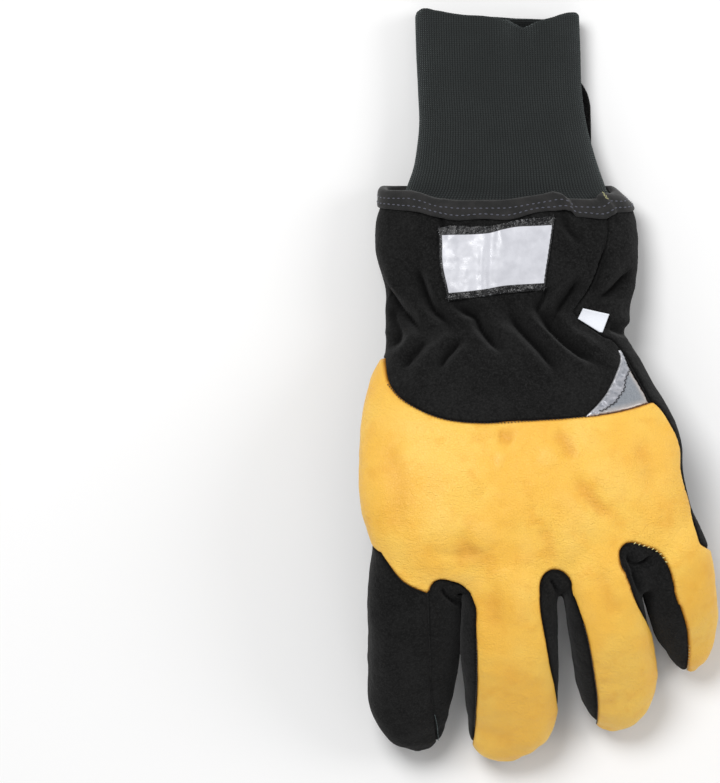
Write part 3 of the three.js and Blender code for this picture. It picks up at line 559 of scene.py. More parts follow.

# folds and dents in the skin, with the painted shade in their valleys and the painted highlight on their
# ridges

folding = {
    "gain": 1.45, "ridge": 0.42, "ridgeAt": 2.4, "ridgeWidth": 1.4, "sharp": 3.5, "soft": 6.5,
    "valleyPower": 1.4, "samples": 14, "reach": 70, "facing": (-0.3, 0.35),
    "taper": 0.3, "least": 0.12, "untapered": 6,  # a fold fades to its least at both ends
    # these set the painted shade in fold valleys and the painted highlight on fold ridges
    "narrow": 0.85, "broad": 1.5, "shallow": 1, "darkest": 2.6, "shadeStrength": 0.5, "ridgeHighlight": 0.8,
    "rimClear": 7, "rimFade": (2.0, 14.0),  # folds fade out towards the rim
}
creases = {  # the valley's depth and half width, then its line in plan, all in millimetres
    "gatherA": (3.2, 2.3, [(-74, 56.4), (-70.8, 46.5), (-66.3, 38.9), (-60, 33.5), (-55.1, 28.1),
        (-51, 22.2)]),
    "gatherB": (2.0, 2.3, [(-50.6, 22.6), (-53.7, 16.8), (-58.2, 11.4), (-60.9, 6.9)]),
    "gatherC": (2.9, 2.0, [(-55.5, 56.4), (-52.8, 48.3), (-50.1, 40.7), (-47, 34.8), (-42, 31.2),
        (-38.9, 25.8)]),
    "gatherD": (3.9, 2.1, [(-41, 39), (-34.4, 35.3), (-28.5, 33), (-25.4, 27.2), (-21.3, 21.8),
        (-15.9, 14.1)]),
    "gatherE": (2.5, 2.1, [(-34.4, 23), (-38.4, 17.7), (-42, 13.7), (-45.6, 6.9)]),
    "gatherF": (3.2, 2.2, [(-15.5, 38), (-11.9, 32.1), (-7.8, 26.7), (-2.9, 21.3), (1.6, 15.9), (5.2, 10.5),
        (8.8, 4.2)]),
    "gatherG": (3.4, 2.1, [(-2.5, 39.5), (1.2, 33), (5.2, 28.1), (10.2, 22.7), (15.6, 18.2), (21.4, 13.7),
        (28, 9)]),
    "gatherH": (2.8, 1.9, [(19.5, 50), (12.9, 40.7), (8.8, 35.3), (5.2, 28.1)]),
    "gatherI": (1.8, 1.6, [(-2, 33), (1.6, 39.3), (3.6, 45)]),
    "gatherJ": (2.2, 3.0, [(-69.5, 39.3), (-65.9, 31.2), (-62.7, 24.5), (-68.6, 15.9)]),
    "sideK": (2.4, 2.2, [(43, 54), (37.2, 47.4), (31.8, 42.5), (23.5, 38.5)]),
    "sideL": (2.2, 1.9, [(31, 27.5), (36.3, 25.4), (41.5, 24)]),
    "sideM": (1.8, 1.6, [(31, 62), (26.4, 48.3), (21.5, 39.5)]),
    "pleatN": (1.6, 1.5, [(-43.4, 82), (-42.9, 73), (-44.6, 62)]),
    "pleatO": (1.7, 1.7, [(9.3, 82), (12.9, 71.7), (20, 64)]),
    "flapP": (1.8, 1.2, [(-44.4, -88.6), (-41.1, -93), (-38.4, -95.2), (-35.3, -97.4)]),
    "flapQ": (1.5, 1.2, [(4.2, -84.6), (7, -88.9), (8.8, -92.6)]),
    "flapR": (1.9, 1.2, [(38.6, -72.6), (40.3, -77.2), (43, -78.8), (46.2, -78.1), (50.4, -73.8)]),
    "wallS": (1.7, 1.2, [(39, -75), (40.8, -80.4), (43, -85.8), (45.6, -93)]),
    "elastic": (1.2, 7.0, [(-66, 31.5), (-43.7, 28.5), (-16.6, 29.4), (10.4, 28.5), (26, 31.5)]),
    "goldA": (1.1, 4, [(-20, -22), (-15, -22.5), (-11, -24)]),
    "goldB": (1.0, 4, [(5, -19), (9, -22), (13, -28), (15, -34)]),
    "goldC": (1.0, 3.6, [(14, -38), (21, -47), (27, -54), (33, -60)]),
    "goldD": (.8, 4, [(-36, -62), (-33, -70), (-30, -77)]),
    "goldE": (.8, 5, [(-54, -70), (-42, -74), (-29, -75), (-16, -70)]),
    "goldF": (.6, 6, [(-66, -30), (-62, -44), (-63, -58)]),
    "goldG": (.7, 3.8, [(0, -60), (4, -70), (5.5, -80)]),
    "goldH": (.6, 5, [(44, -20), (47, -34), (48, -48)]),
    "middleDent": (.8, 5, [(-20, -80), (-20.7, -96), (-18, -112)]),
    "ringDent": (.6, 4.5, [(26, -76), (30, -92), (36, -104)]),
}
normals = vertexNormals(skin, skinFaces)
facingUp = smoothStep(*folding["facing"], normals[:, 2])
push, foldShading = np.zeros(len(skin)), np.zeros(len(skin))
for depth, w, line in creases.values():
    line = np.array(line, float)
    run = runOf(line)
    line = curveAt(run, line, np.linspace(0, run[-1], folding["samples"]))
    near = (np.abs(skin[:, 0] - line[:, 0].mean()) < folding["reach"]) & (facingUp > 0)
    away, share = segmentDistance(plan[near], line)
    end, least = folding["taper"], folding["least"]
    taper = smoothStep(0, end, share) * smoothStep(0, end, 1 - share) if w < folding["untapered"] else 1
    taper = least + (1 - least) * taper
    valley = np.exp(-np.abs(away / w) ** folding["valleyPower"])
    ridge = mound(away - folding["ridgeAt"] * w, folding["ridgeWidth"] * w)
    raised = folding["ridge"] * ridge - valley
    push[near] += folding["gain"] * depth * raised * taper * facingUp[near]
    # each fold also paints shade into its valley and highlight onto its ridges, for the materials to read
    if w < folding["sharp"] and depth > folding["shallow"]:
        dark = mound(away, folding["narrow"] * w) * taper * min(depth / folding["darkest"], 1)
        foldShading[near] = np.maximum(foldShading[near], dark)
    elif w < folding["soft"]:
        broad = mound(away, folding["broad"] * w)
        foldShading[near] += folding["shadeStrength"] * depth * (broad - folding["ridgeHighlight"] * ridge) * taper
rimMask = smoothStep(*folding["rimFade"], hand["rimY"] - folding["rimClear"] - skin[:, 1])
push *= rimMask
waves = hand["waves"]
bulge = np.array([noise.noise(Vector(p) * waves["bulgeTurn"]) for p in skin.tolist()])
ripple = np.array([noise.noise(Vector(p) * waves["rippleTurn"] + Vector((40, 0, 0)))
                   for p in skin.tolist()])
waving = waves["bulge"] * bulge + waves["ripple"] * ripple
push += hand["softness"] * waving * (waves["atRim"] + (1 - waves["atRim"]) * rimMask)
skin = skin + normals * push[:, None]
skin[:, 2] = np.maximum(skin[:, 2], hand["clear"])
normals = vertexNormals(skin, skinFaces)
print("folds pressed in")

# cutting the skin into its panels

fieldStart = 7
table = np.column_stack([skin, normals, foldShading] + [fields[name] for name in fieldNames])


def column(name):
    return fieldStart + fieldNames.index(name)


def compacted(rows, faces):
    used, inverse = np.unique(faces, return_inverse=True)
    return rows[used], inverse.reshape(-1, 3)


def parted(rows, faces, value):  # splits triangles where value passes 0; returns the inside and the rest
    rows, value = rows.copy(), value.copy()
    edges = neighbours(faces)
    for _ in range(2):
        a, b = edges.T
        crossing = value[a] * value[b] < 0
        a, b = a[crossing], b[crossing]
        t = value[a] / (value[a] - value[b])
        cut = rows[a] + t[:, None] * (rows[b] - rows[a])
        nearA, nearB = t < 0.24, t > 0.76
        rows[a[nearA]], value[a[nearA]] = cut[nearA], 0
        rows[b[nearB]], value[b[nearB]] = cut[nearB], 0
    a, b = edges.T
    crossing = value[a] * value[b] < 0
    a, b = a[crossing], b[crossing]
    t = value[a] / (value[a] - value[b])
    extra = rows[a] + t[:, None] * (rows[b] - rows[a])
    made = {(int(m), int(n)): len(rows) + k for k, (m, n) in enumerate(zip(a, b))}
    rows = np.vstack([rows, extra])
    sign = np.sign(value)[faces]
    high, low = sign.max(1), sign.min(1)
    inside = [f for f in faces[(low >= 0) & (high > 0)].tolist()]
    rest = [f for f in faces[high <= 0].tolist()]
    mixed = faces[(low < 0) & (high > 0)]
    for face in mixed.tolist():
        loop = []
        for k in range(3):
            m, n = face[k], face[(k + 1) % 3]
            loop.append((m, value[m]))
            if value[m] * value[n] < 0:
                loop.append((made[(min(m, n), max(m, n))], 0.0))
        for keep, target in ((1, inside), (-1, rest)):
            ring = [v for v, f in loop if f * keep >= 0]
            for k in range(1, len(ring) - 1):
                target.append([ring[0], ring[k], ring[k + 1]])
    return compacted(rows, np.array(inside)), compacted(rows, np.array(rest))


def lumps(faces, count):  # connected groups of faces
    label = np.arange(count)
    while True:
        low = label[faces].min(1)
        new = label.copy()
        for k in range(3):
            np.minimum.at(new, faces[:, k], low)
        new = new[new]
        if (new == label).all():
            break
        label = new
    return label[faces[:, 0]]


def areaOf(rows, faces):
    a, b, c = (rows[faces[:, k], :3] for k in range(3))
    return np.linalg.norm(np.cross(b - a, c - a), axis=1) / 2


def merged(parts):  # joins cut pieces on their shared points
    rows = np.vstack([p[0] for p in parts])
    offset = np.cumsum([0] + [len(p[0]) for p in parts[:-1]])
    faces = np.vstack([p[1] + o for p, o in zip(parts, offset)])
    _, first, inverse = np.unique(np.round(rows[:, :3], 5), axis=0, return_index=True, return_inverse=True)
    faces = inverse.reshape(-1)[faces]
    a, b, c = faces.T
    faces = faces[(a != b) & (b != c) & (c != a)]
    return compacted(rows[first], faces)


def lumpsOf(part):
    rows, faces = part
    label = lumps(faces, len(rows))
    areas = areaOf(rows, faces)
    found = [(areas[label == one].sum(), compacted(rows, faces[label == one])) for one in np.unique(label)]
    return sorted(found, key=lambda pair: -pair[0])


rim = np.array([  # plan millimetres across, and how far the upper layer's rim stands over the mean rim
    (-72, -2.1), (-57.3, -2.4), (-52.8, -3.5), (-48.3, -5.1), (-43.8, -6.0), (-41.6, -6.6), (-37.1, -6.9),
    (-18.2, -6.8), (-12.3, -6.0), (-7.8, -5.3), (-3.3, -4.7), (1.2, -3.9), (5.7, -2.6), (8.4, -3.2),
    (10.2, -6.2), (14.7, -6.3), (19.2, -6.4), (21.9, -6.0), (24.6, -4.2), (26.8, -3.4), (31.8, -3.7),
    (42, -4.5),
])


def upperShare(z):  # 0 in the rim's lower layer and 1 in its upper
    return smoothStep(9, 24, z)


def rimRise(x, z):
    return np.interp(x, rim[:, 0], rim[:, 1]) * upperShare(z)


def overRim(rows):
    return rows[:, 1] - (hand["rimY"] + rimRise(rows[:, 0], rows[:, 2]))


_, rest = parted(table, skinFaces, overRim(table))
(thumbRows, thumbFaces), rest = parted(*rest, rest[0][:, column("thumb")])
scraps = []
panels = {}
thumbBack, thumbFront = parted(thumbRows, thumbFaces, thumbRows[:, column("thumb_back")])
panels["thumb_back"], panels["thumb_front"] = thumbBack, thumbFront
for name in ("back_leather", "reflective_trim", "gauntlet_back", "index_back", "front_middle", "front_ring",
             "palm"):
    piece, rest = parted(*rest, rest[0][:, column(name)])
    found = lumpsOf(piece)
    panels[name] = found[0][1]
    scraps += [part for _, part in found[1:]]
for name in ("side_wall_index_middle", "side_wall_middle_ring", "side_wall_ring_little"):
    if name != "side_wall_ring_little":
        piece, rest = parted(*rest, rest[0][:, column(name)])
    else:
        piece = rest
    found = lumpsOf(piece)
    panels[name] = found[0][1]
    scraps += [part for _, part in found[1:]]
for name in ("thumb_back", "thumb_front"):
    found = lumpsOf(panels[name])
    panels[name] = found[0][1]
    scraps += [part for _, part in found[1:]]


def borderPoints(part):
    faces = part[1]
    pairs = np.sort(np.vstack([faces[:, [0, 1]], faces[:, [1, 2]], faces[:, [2, 0]]]), axis=1)
    unique, count = np.unique(pairs, axis=0, return_counts=True)
    return unique[count == 1]


for scrap in sorted(scraps, key=lambda part: len(part[1])):
    edge = {tuple(p) for p in np.round(scrap[0][np.unique(borderPoints(scrap)), :3], 4)}
    scores = {name: len(edge & {tuple(p) for p in np.round(part[0][np.unique(borderPoints(part)), :3], 4)})
              for name, part in panels.items()}
    best = max(scores, key=scores.get)
    if scores[best]:
        panels[best] = merged([panels[best], scrap])
print("cut into", len(panels), "panels,", len(scraps), "scraps joined back")
for name, part in panels.items():
    print("  ", name, len(part[1]), "faces, area", round(areaOf(*part).sum()))


# materials

def newMaterial(name, rough, **sockets):
    made = bpy.data.materials.new(name)
    made.use_nodes = True
    shader = made.node_tree.nodes["Principled BSDF"]
    shader.inputs["Roughness"].default_value = rough
    for key, value in sockets.items():
        shader.inputs[key].default_value = value
    return made, made.node_tree, shader


def node(tree, kind, **values):
    made = tree.nodes.new(kind)
    for key, value in values.items():
        if key in made.inputs:
            made.inputs[key].default_value = value
        else:
            setattr(made, key, value)
    return made


def mixColours(tree, fac, one, two):
    mix = node(tree, "ShaderNodeMix", data_type="RGBA")
    for socket, value in ((mix.inputs[0], fac), (mix.inputs[6], one), (mix.inputs[7], two)):
        if isinstance(value, (tuple, float, int)):
            socket.default_value = value if not isinstance(value, tuple) else (*value, 1)
        else:
            tree.links.new(value, socket)
    return mix.outputs[2]


def ranged(tree, value, low, high, toLow=0.0, toHigh=1.0):
    made = tree.nodes.new("ShaderNodeMapRange")
    made.interpolation_type = "SMOOTHSTEP"
    tree.links.new(value, made.inputs[0])
    for k, number in enumerate((low, high, toLow, toHigh)):
        made.inputs[k + 1].default_value = number
    return made.outputs[0]


def maths(tree, operation, one, two=0.0):
    made = node(tree, "ShaderNodeMath", operation=operation)
    for socket, value in zip(made.inputs, (one, two)):
        if isinstance(value, (float, int)):
            socket.default_value = value
        else:
            tree.links.new(value, socket)
    return made.outputs[0]


# size is the pattern's size in millimetres
def noiseOf(tree, size, detail=3.0, rough=0.55, stretch=(1, 1, 1)):
    where = node(tree, "ShaderNodeTexCoord")
    mapping = node(tree, "ShaderNodeMapping")
    mapping.inputs["Scale"].default_value = stretch
    tree.links.new(where.outputs["Object"], mapping.inputs["Vector"])
    made = node(tree, "ShaderNodeTexNoise", Scale=1000.0 / size, Detail=detail, Roughness=rough)
    tree.links.new(mapping.outputs[0], made.inputs["Vector"])
    return made.outputs["Fac"]


def bumpOf(tree, height, distance, strength=1.0, normal=None):
    made = node(tree, "ShaderNodeBump", Distance=distance * 0.001, Strength=strength)
    tree.links.new(height, made.inputs["Height"])
    if normal is not None:
        tree.links.new(normal, made.inputs["Normal"])
    return made.outputs[0]


def attribute(tree, name):
    return node(tree, "ShaderNodeAttribute", attribute_name=name).outputs["Fac"]


def linear(red, green, blue):  # a screen colour as light
    return tuple(v / 12.92 if v <= 0.04045 else ((v + 0.055) / 1.055) ** 2.4
                 for v in (red / 255, green / 255, blue / 255))


# hollow is painted shade in fold valleys, ridge a painted highlight on fold ridges; crease darkens the
# grain and is painted shade along the seams
goldFinish = {
    "colour": (249, 192, 70), "deeper": (241, 177, 55), "paler": (252, 203, 85), "crease": (196, 124, 30),
    "hollow": (228, 163, 50), "ridge": (255, 211, 108),
    "pebble": 1.15, "grain": 0.5, "patch": 26.0, "roughness": 0.5,
}


def warped(tree, size, reach):  # object coordinates pushed about by a noise
    where = node(tree, "ShaderNodeTexCoord")
    push = node(tree, "ShaderNodeTexNoise", Scale=1000.0 / size, Detail=2.0)
    tree.links.new(where.outputs["Object"], push.inputs["Vector"])
    bent = node(tree, "ShaderNodeVectorMath", operation="MULTIPLY_ADD")
    tree.links.new(push.outputs["Color"], bent.inputs[0])
    bent.inputs[1].default_value = (reach * 0.001,) * 3
    tree.links.new(where.outputs["Object"], bent.inputs[2])
    return bent.outputs[0]


def goldLeather():
    f = goldFinish
    made, tree, shader = newMaterial("goldLeather", f["roughness"],
        **{"Coat Weight": 0.06, "Coat Roughness": 0.35})
    patches = noiseOf(tree, f["patch"], 2.0)
    colour = mixColours(tree, ranged(tree, patches, 0.35, 0.65), linear(*f["colour"]), linear(*f["paler"]))
    colour = mixColours(tree, ranged(tree, noiseOf(tree, 9.0, 2.0), 0.5, 0.75, 0, 0.5), colour,
                        linear(*f["deeper"]))
    fine = noiseOf(tree, f["grain"], 3.0, 0.65)
    cells = node(tree, "ShaderNodeTexVoronoi", feature="DISTANCE_TO_EDGE", Scale=1000.0 / f["pebble"])
    tree.links.new(warped(tree, 2.5, 1.2), cells.inputs["Vector"])
    pebbles = ranged(tree, cells.outputs["Distance"], 0.0, 0.14)
    lines = node(tree, "ShaderNodeTexNoise", Scale=1000.0 / 4.5, Detail=2.0, Roughness=0.5)
    squeezed = node(tree, "ShaderNodeMapping")
    squeezed.inputs["Rotation"].default_value = (0, 0, 0.9)
    squeezed.inputs["Scale"].default_value = (1, 2.2, 1)
    tree.links.new(warped(tree, 20.0, 6.0), squeezed.inputs["Vector"])
    tree.links.new(squeezed.outputs[0], lines.inputs["Vector"])
    crinkle = ranged(tree, maths(tree, "ABSOLUTE", maths(tree, "SUBTRACT", lines.outputs["Fac"], 0.5)), 0.0,
                     0.09)
    where = ranged(tree, noiseOf(tree, 24.0, 1.0), 0.36, 0.58)
    edge, foldShadingMask = attribute(tree, "seamDist"), attribute(tree, "foldShading")
    # painted shade in the fold valleys, then a painted highlight on the fold ridges
    colour = mixColours(tree, ranged(tree, foldShadingMask, 0.0, 0.6, 0.0, 0.75), colour, linear(*f["hollow"]))
    colour = mixColours(tree, ranged(tree, foldShadingMask, -0.4, 0.0, 0.3, 0.0), colour, linear(*f["ridge"]))
    # painted shade along the seams
    colour = mixColours(tree, ranged(tree, edge, 0.1, 1.6, 0.85, 0.0), colour, linear(*f["crease"]))
    colour = mixColours(tree, ranged(tree, fine, 0.3, 0.6, 0.1, 0.0), colour, linear(*f["crease"]))
    colour = mixColours(tree, ranged(tree, pebbles, 0.0, 0.7, 0.07, 0.0), colour, linear(*f["crease"]))
    tree.links.new(colour, shader.inputs["Base Color"])
    tree.links.new(ranged(tree, fine, 0.3, 0.7, f["roughness"] - 0.08, f["roughness"] + 0.12),
                   shader.inputs["Roughness"])
    bump = bumpOf(tree, pebbles, 0.13, 0.6)
    bump = bumpOf(tree, fine, 0.12, 0.8, bump)
    bump = bumpOf(tree, maths(tree, "MULTIPLY", crinkle, where), 0.13, 0.7, bump)
    bump = bumpOf(tree, noiseOf(tree, 4.0, 3.0), 0.5, 0.8, bump)
    tree.links.new(bump, shader.inputs["Normal"])
    return made


def suede(name, dark, pale, nap, patch):
    made, tree, shader = newMaterial(name, 1.0, **{"Sheen Weight": 0.06, "Sheen Roughness": 0.6,
        "Specular IOR Level": 0.05})
    patches = noiseOf(tree, patch, 3.0)
    fibres = noiseOf(tree, nap, 4.0, 0.75)
    specks = noiseOf(tree, nap * 0.4, 1.0)
    colour = mixColours(tree, ranged(tree, patches, 0.36, 0.66), linear(*dark), linear(*pale))
    tufts = noiseOf(tree, nap * 2.2, 2.0, 0.6)
    colour = mixColours(tree, ranged(tree, fibres, 0.42, 0.7, 0.0, 0.75), colour,
                        tuple(2.6 * v for v in linear(*pale)))
    colour = mixColours(tree, ranged(tree, tufts, 0.36, 0.52, 0.45, 0.0), colour,
                        tuple(0.3 * v for v in linear(*dark)))
    colour = mixColours(tree, ranged(tree, specks, 0.66, 0.82, 0.0, 0.35), colour,
                        tuple(5.0 * v for v in linear(*pale)))
    # painted shade along the seams and in the fold valleys
    seamAndFoldShade = maths(tree, "ADD", ranged(tree, attribute(tree, "seamDist"), 0.1, 1.4, 0.75, 0.0),
                   maths(tree, "MULTIPLY", attribute(tree, "foldShading"), 0.85))
    colour = mixColours(tree, maths(tree, "MINIMUM", seamAndFoldShade, 0.9), colour,
                        tuple(0.25 * v for v in linear(*dark)))
    tree.links.new(colour, shader.inputs["Base Color"])
    bump = bumpOf(tree, fibres, 0.2, 0.9)
    bump = bumpOf(tree, tufts, 0.35, 0.8, bump)
    bump = bumpOf(tree, noiseOf(tree, nap * 6, 2.0), 0.5, 0.6, bump)
    tree.links.new(bump, shader.inputs["Normal"])
    return made


def reflectiveFilm():
    made, tree, shader = newMaterial("reflectiveFilm", 0.42, Metallic=0.55)
    band = ranged(tree, attribute(tree, "band"), -0.2, 0.2)
    weave = noiseOf(tree, 0.6, 2.0)
    plain = mixColours(tree, ranged(tree, weave, 0.3, 0.7), linear(146, 152, 160), linear(168, 173, 180))
    worn = mixColours(tree, ranged(tree, noiseOf(tree, 3.0, 1.0), 0.35, 0.65), linear(158, 161, 169),
                      linear(188, 189, 196))
    edge = attribute(tree, "seamDist")
    plain = mixColours(tree, ranged(tree, edge, 0.8, 3.6, 0.6, 0.0), plain, linear(206, 198, 192))
    colour = mixColours(tree, band, plain, worn)
    bright = maths(tree, "MULTIPLY", band, ranged(tree, edge, 0.2, 1.0, 0.8, 0.0))
    colour = mixColours(tree, bright, colour, linear(236, 236, 240))
    # darker and browner right at the seams, outside the worn band
    brownerAtSeams = maths(tree, "MULTIPLY", maths(tree, "SUBTRACT", 1.0, band),
                 ranged(tree, edge, 0.3, 1.1, 0.6, 0.0))
    colour = mixColours(tree, brownerAtSeams, colour, linear(140, 104, 78))
    tree.links.new(colour, shader.inputs["Base Color"])
    crumple = maths(tree, "MULTIPLY", band, noiseOf(tree, 2.4, 1.5))
    bump = bumpOf(tree, crumple, 0.9, 0.8)
    bump = bumpOf(tree, noiseOf(tree, 0.35, 1.0), 0.03, 0.5, bump)
    tree.links.new(bump, shader.inputs["Normal"])
    return made


gold = goldLeather()
film = reflectiveFilm()
gauntletSuede = suede("gauntletSuede", (17, 17, 17), (24, 24, 24), 0.75, 22.0)
palmSuede = suede("palmSuede", (16, 16, 16), (25, 25, 25), 0.9, 16.0)
sideSuede = suede("sideSuede", (15, 15, 15), (23, 23, 23), 0.75, 12.0)

# the leather panels

panelFinish = {
    "roll": 1.0, "rollWidth": 1.9, "thickness": 1.8, "liftWidth": 1.6,
    "rimClear": 0.6,  # an edge this near the rim isn't sewn to another panel
    "slots": {
        "back_leather": ("gold_leather", gold), "gauntlet_back": ("gauntlet_suede", gauntletSuede),
        "index_back": ("palm_suede", sideSuede), "palm": ("palm_suede", palmSuede),
        "front_middle": ("front_suede", palmSuede), "front_ring": ("front_suede", palmSuede),
        "side_wall_index_middle": ("side_suede", sideSuede),
        "side_wall_middle_ring": ("side_suede", sideSuede),
        "side_wall_ring_little": ("side_suede", sideSuede), "thumb_back": ("thumb_suede", palmSuede),
        "thumb_front": ("thumb_suede", palmSuede), "reflective_trim": ("reflective_film", film),
    },
}
# a panel sewn over its neighbours stands higher
lift = {"back_leather": 0.55, "reflective_trim": -0.3, "gauntlet_back": -0.25}


def pointCloud(points):
    tree = KDTree(len(points))
    for k, p in enumerate(points.tolist()):
        tree.insert(p, k)
    tree.balance()
    return tree


def finishPanel(name, part):
    rows, faces = part
    edges = borderPoints(part)
    ends = rows[edges][:, :, :3]
    middle = ends.mean(1)
    sewn = np.abs(overRim(middle)) > panelFinish["rimClear"]
    samples = np.vstack([ends[sewn].reshape(-1, 3), middle[sewn]])
    away = np.full(len(rows), 99.0)
    if len(samples):
        near = pointCloud(samples)
        for k, p in enumerate(rows[:, :3].tolist()):
            away[k] = near.find(p)[2]
    t = np.clip(1 - away / panelFinish["rollWidth"], 0, 1)
    down = panelFinish["roll"] * (1 - np.sqrt(1 - t**2))
    up = lift.get(name, 0.0) * smoothStep(0.0, panelFinish["liftWidth"], away)
    points = rows[:, :3] + rows[:, 3:6] * (up - down)[:, None]
    points[:, 2] = np.maximum(points[:, 2], hand["clear"])
    mesh = meshData(name + "_skin", points, faces)
    paint(mesh, "seamDist", np.minimum(away, 20))
    if name == "reflective_trim":
        paint(mesh, "band", insideOutline(rows[:, :2], bandOutline))
    paint(mesh, "foldShading", rows[:, 6])
    mesh.shade_smooth()
    made = newObject(name + "_skin", mesh)
    walled(made, panelFinish["thickness"])
    slotName, material = panelFinish["slots"][name]
    dressed(made, material)
    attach(made, "root")
    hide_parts(name)


for name, part in panels.items():
    finishPanel(name, part)
print("panels finished")

# rows of stitches

skinTree = BVHTree.FromPolygons(skin.tolist(), skinFaces.tolist())


def inputOf(tree, name):
    return next(item.identifier for item in tree.interface.items_tree if item.name == name
                and item.in_out == "INPUT")


def newTree(name, inputs):
    tree = bpy.data.node_groups.new(name, "GeometryNodeTree")
    tree.is_modifier = True
    tree.interface.new_socket("Geometry", in_out="INPUT", socket_type="NodeSocketGeometry")
    for label, kind, value in inputs:
        socket = tree.interface.new_socket(label, in_out="INPUT", socket_type=kind)
        if value is not None:
            socket.default_value = value
    tree.interface.new_socket("Geometry", in_out="OUTPUT", socket_type="NodeSocketGeometry")
    return tree, tree.nodes.new("NodeGroupInput"), tree.nodes.new("NodeGroupOutput")


def stitchTree():
    tree, given, result = newTree("stitchRow", [
        ("Pitch", "NodeSocketFloat", 0.003), ("Length", "NodeSocketFloat", 0.002),
        ("Thread", "NodeSocketFloat", 0.0005),
        ("Turn", "NodeSocketFloat", 0.0), ("Seed", "NodeSocketInt", 3),
        ("Material", "NodeSocketMaterial", None),
    ])
    link = tree.links.new
    curve = tree.nodes.new("GeometryNodeMeshToCurve")
    even = tree.nodes.new("GeometryNodeResampleCurve")
    even.mode = "LENGTH"
    link(given.outputs["Geometry"], curve.inputs["Mesh"])
    link(curve.outputs[0], even.inputs["Curve"])
    link(given.outputs["Pitch"], even.inputs["Length"])
    tangent = tree.nodes.new("GeometryNodeInputTangent")
    lean = tree.nodes.new("GeometryNodeInputNamedAttribute")
    lean.data_type = "FLOAT_VECTOR"
    lean.inputs["Name"].default_value = "lean"
    flat = tree.nodes.new("FunctionNodeAlignRotationToVector")
    flat.axis = "Z"
    link(lean.outputs["Attribute"], flat.inputs["Vector"])
    turned = tree.nodes.new("FunctionNodeAlignRotationToVector")
    turned.axis, turned.pivot_axis = "X", "Z"
    link(flat.outputs[0], turned.inputs["Rotation"])
    link(tangent.outputs[0], turned.inputs["Vector"])
    spin = tree.nodes.new("FunctionNodeRotateRotation")
    spin.rotation_space = "LOCAL"
    euler = tree.nodes.new("ShaderNodeCombineXYZ")
    jitter = tree.nodes.new("FunctionNodeRandomValue")
    jitter.inputs[2].default_value, jitter.inputs[3].default_value = -0.12, 0.12
    link(given.outputs["Seed"], jitter.inputs["Seed"])
    added = tree.nodes.new("ShaderNodeMath")
    link(given.outputs["Turn"], added.inputs[0])
    link(jitter.outputs[1], added.inputs[1])
    link(added.outputs[0], euler.inputs["Z"])
    link(turned.outputs[0], spin.inputs["Rotation"])
    link(euler.outputs[0], spin.inputs["Rotate By"])
    ball = tree.nodes.new("GeometryNodeMeshUVSphere")
    ball.inputs["Segments"].default_value = 8
    ball.inputs["Rings"].default_value = 6
    ball.inputs["Radius"].default_value = 0.5
    size = tree.nodes.new("ShaderNodeCombineXYZ")
    link(given.outputs["Length"], size.inputs["X"])
    link(given.outputs["Thread"], size.inputs["Y"])
    link(given.outputs["Thread"], size.inputs["Z"])
    put = tree.nodes.new("GeometryNodeInstanceOnPoints")
    link(even.outputs[0], put.inputs["Points"])
    link(ball.outputs["Mesh"], put.inputs["Instance"])
    link(spin.outputs[0], put.inputs["Rotation"])
    link(size.outputs[0], put.inputs["Scale"])
    real = tree.nodes.new("GeometryNodeRealizeInstances")
    finish = tree.nodes.new("GeometryNodeSetMaterial")
    link(put.outputs[0], real.inputs[0])
    link(real.outputs[0], finish.inputs["Geometry"])
    link(given.outputs["Material"], finish.inputs["Material"])
    link(finish.outputs[0], result.inputs[0])
    return tree


stitches = stitchTree()


# lines: points and the way each faces
def stitchRows(name, lines, pitch, length, thread, material, turn=0.0):
    points, leans, edges = [], [], []
    for line, facing in lines:
        start = len(points)
        points += [tuple(v * 0.001 for v in p) for p in line]
        leans += [tuple(n) for n in facing]
        edges += [(start + k, start + k + 1) for k in range(len(line) - 1)]
    mesh = bpy.data.meshes.new(name)
    mesh.from_pydata(points, edges, [])
    lean = mesh.attributes.new("lean", "FLOAT_VECTOR", "POINT")
    lean.data.foreach_set("vector", np.array(leans, np.float32).ravel())
    made = newObject(name, mesh)
    row = made.modifiers.new("row", "NODES")
    row.node_group = stitches
    for label, value in (("Pitch", pitch * 0.001), ("Length", length * 0.001), ("Thread", thread * 0.001),
                         ("Turn", turn), ("Seed", 7), ("Material", material)):
        row[inputOf(stitches, label)] = value
    applied(made)
    made.data.shade_smooth()
    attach(made, "root")


def onTop(tree, x, y, over=0.0):  # the point of a surface under a place in plan, and the way it faces
    hit, normal, _, _ = tree.ray_cast(Vector((x, y, 300)), Vector((0, 0, -1)))
    if hit is None:
        return None
    if normal.z < 0:
        normal = -normal
    return hit + normal * over, normal


def threadMaterial(name, colour):
    made, tree, shader = newMaterial(name, 0.6, **{"Sheen Weight": 0.2})
    twist = noiseOf(tree, 0.35, 1.0)
    tint = mixColours(tree, twist, tuple(0.75 * v for v in linear(*colour)), linear(*colour))
    tree.links.new(tint, shader.inputs["Base Color"])
    tree.links.new(bumpOf(tree, twist, 0.08), shader.inputs["Normal"])
    return made


# knit cuff: a flat tube whose ribs run from inside the gauntlet to the open mouth

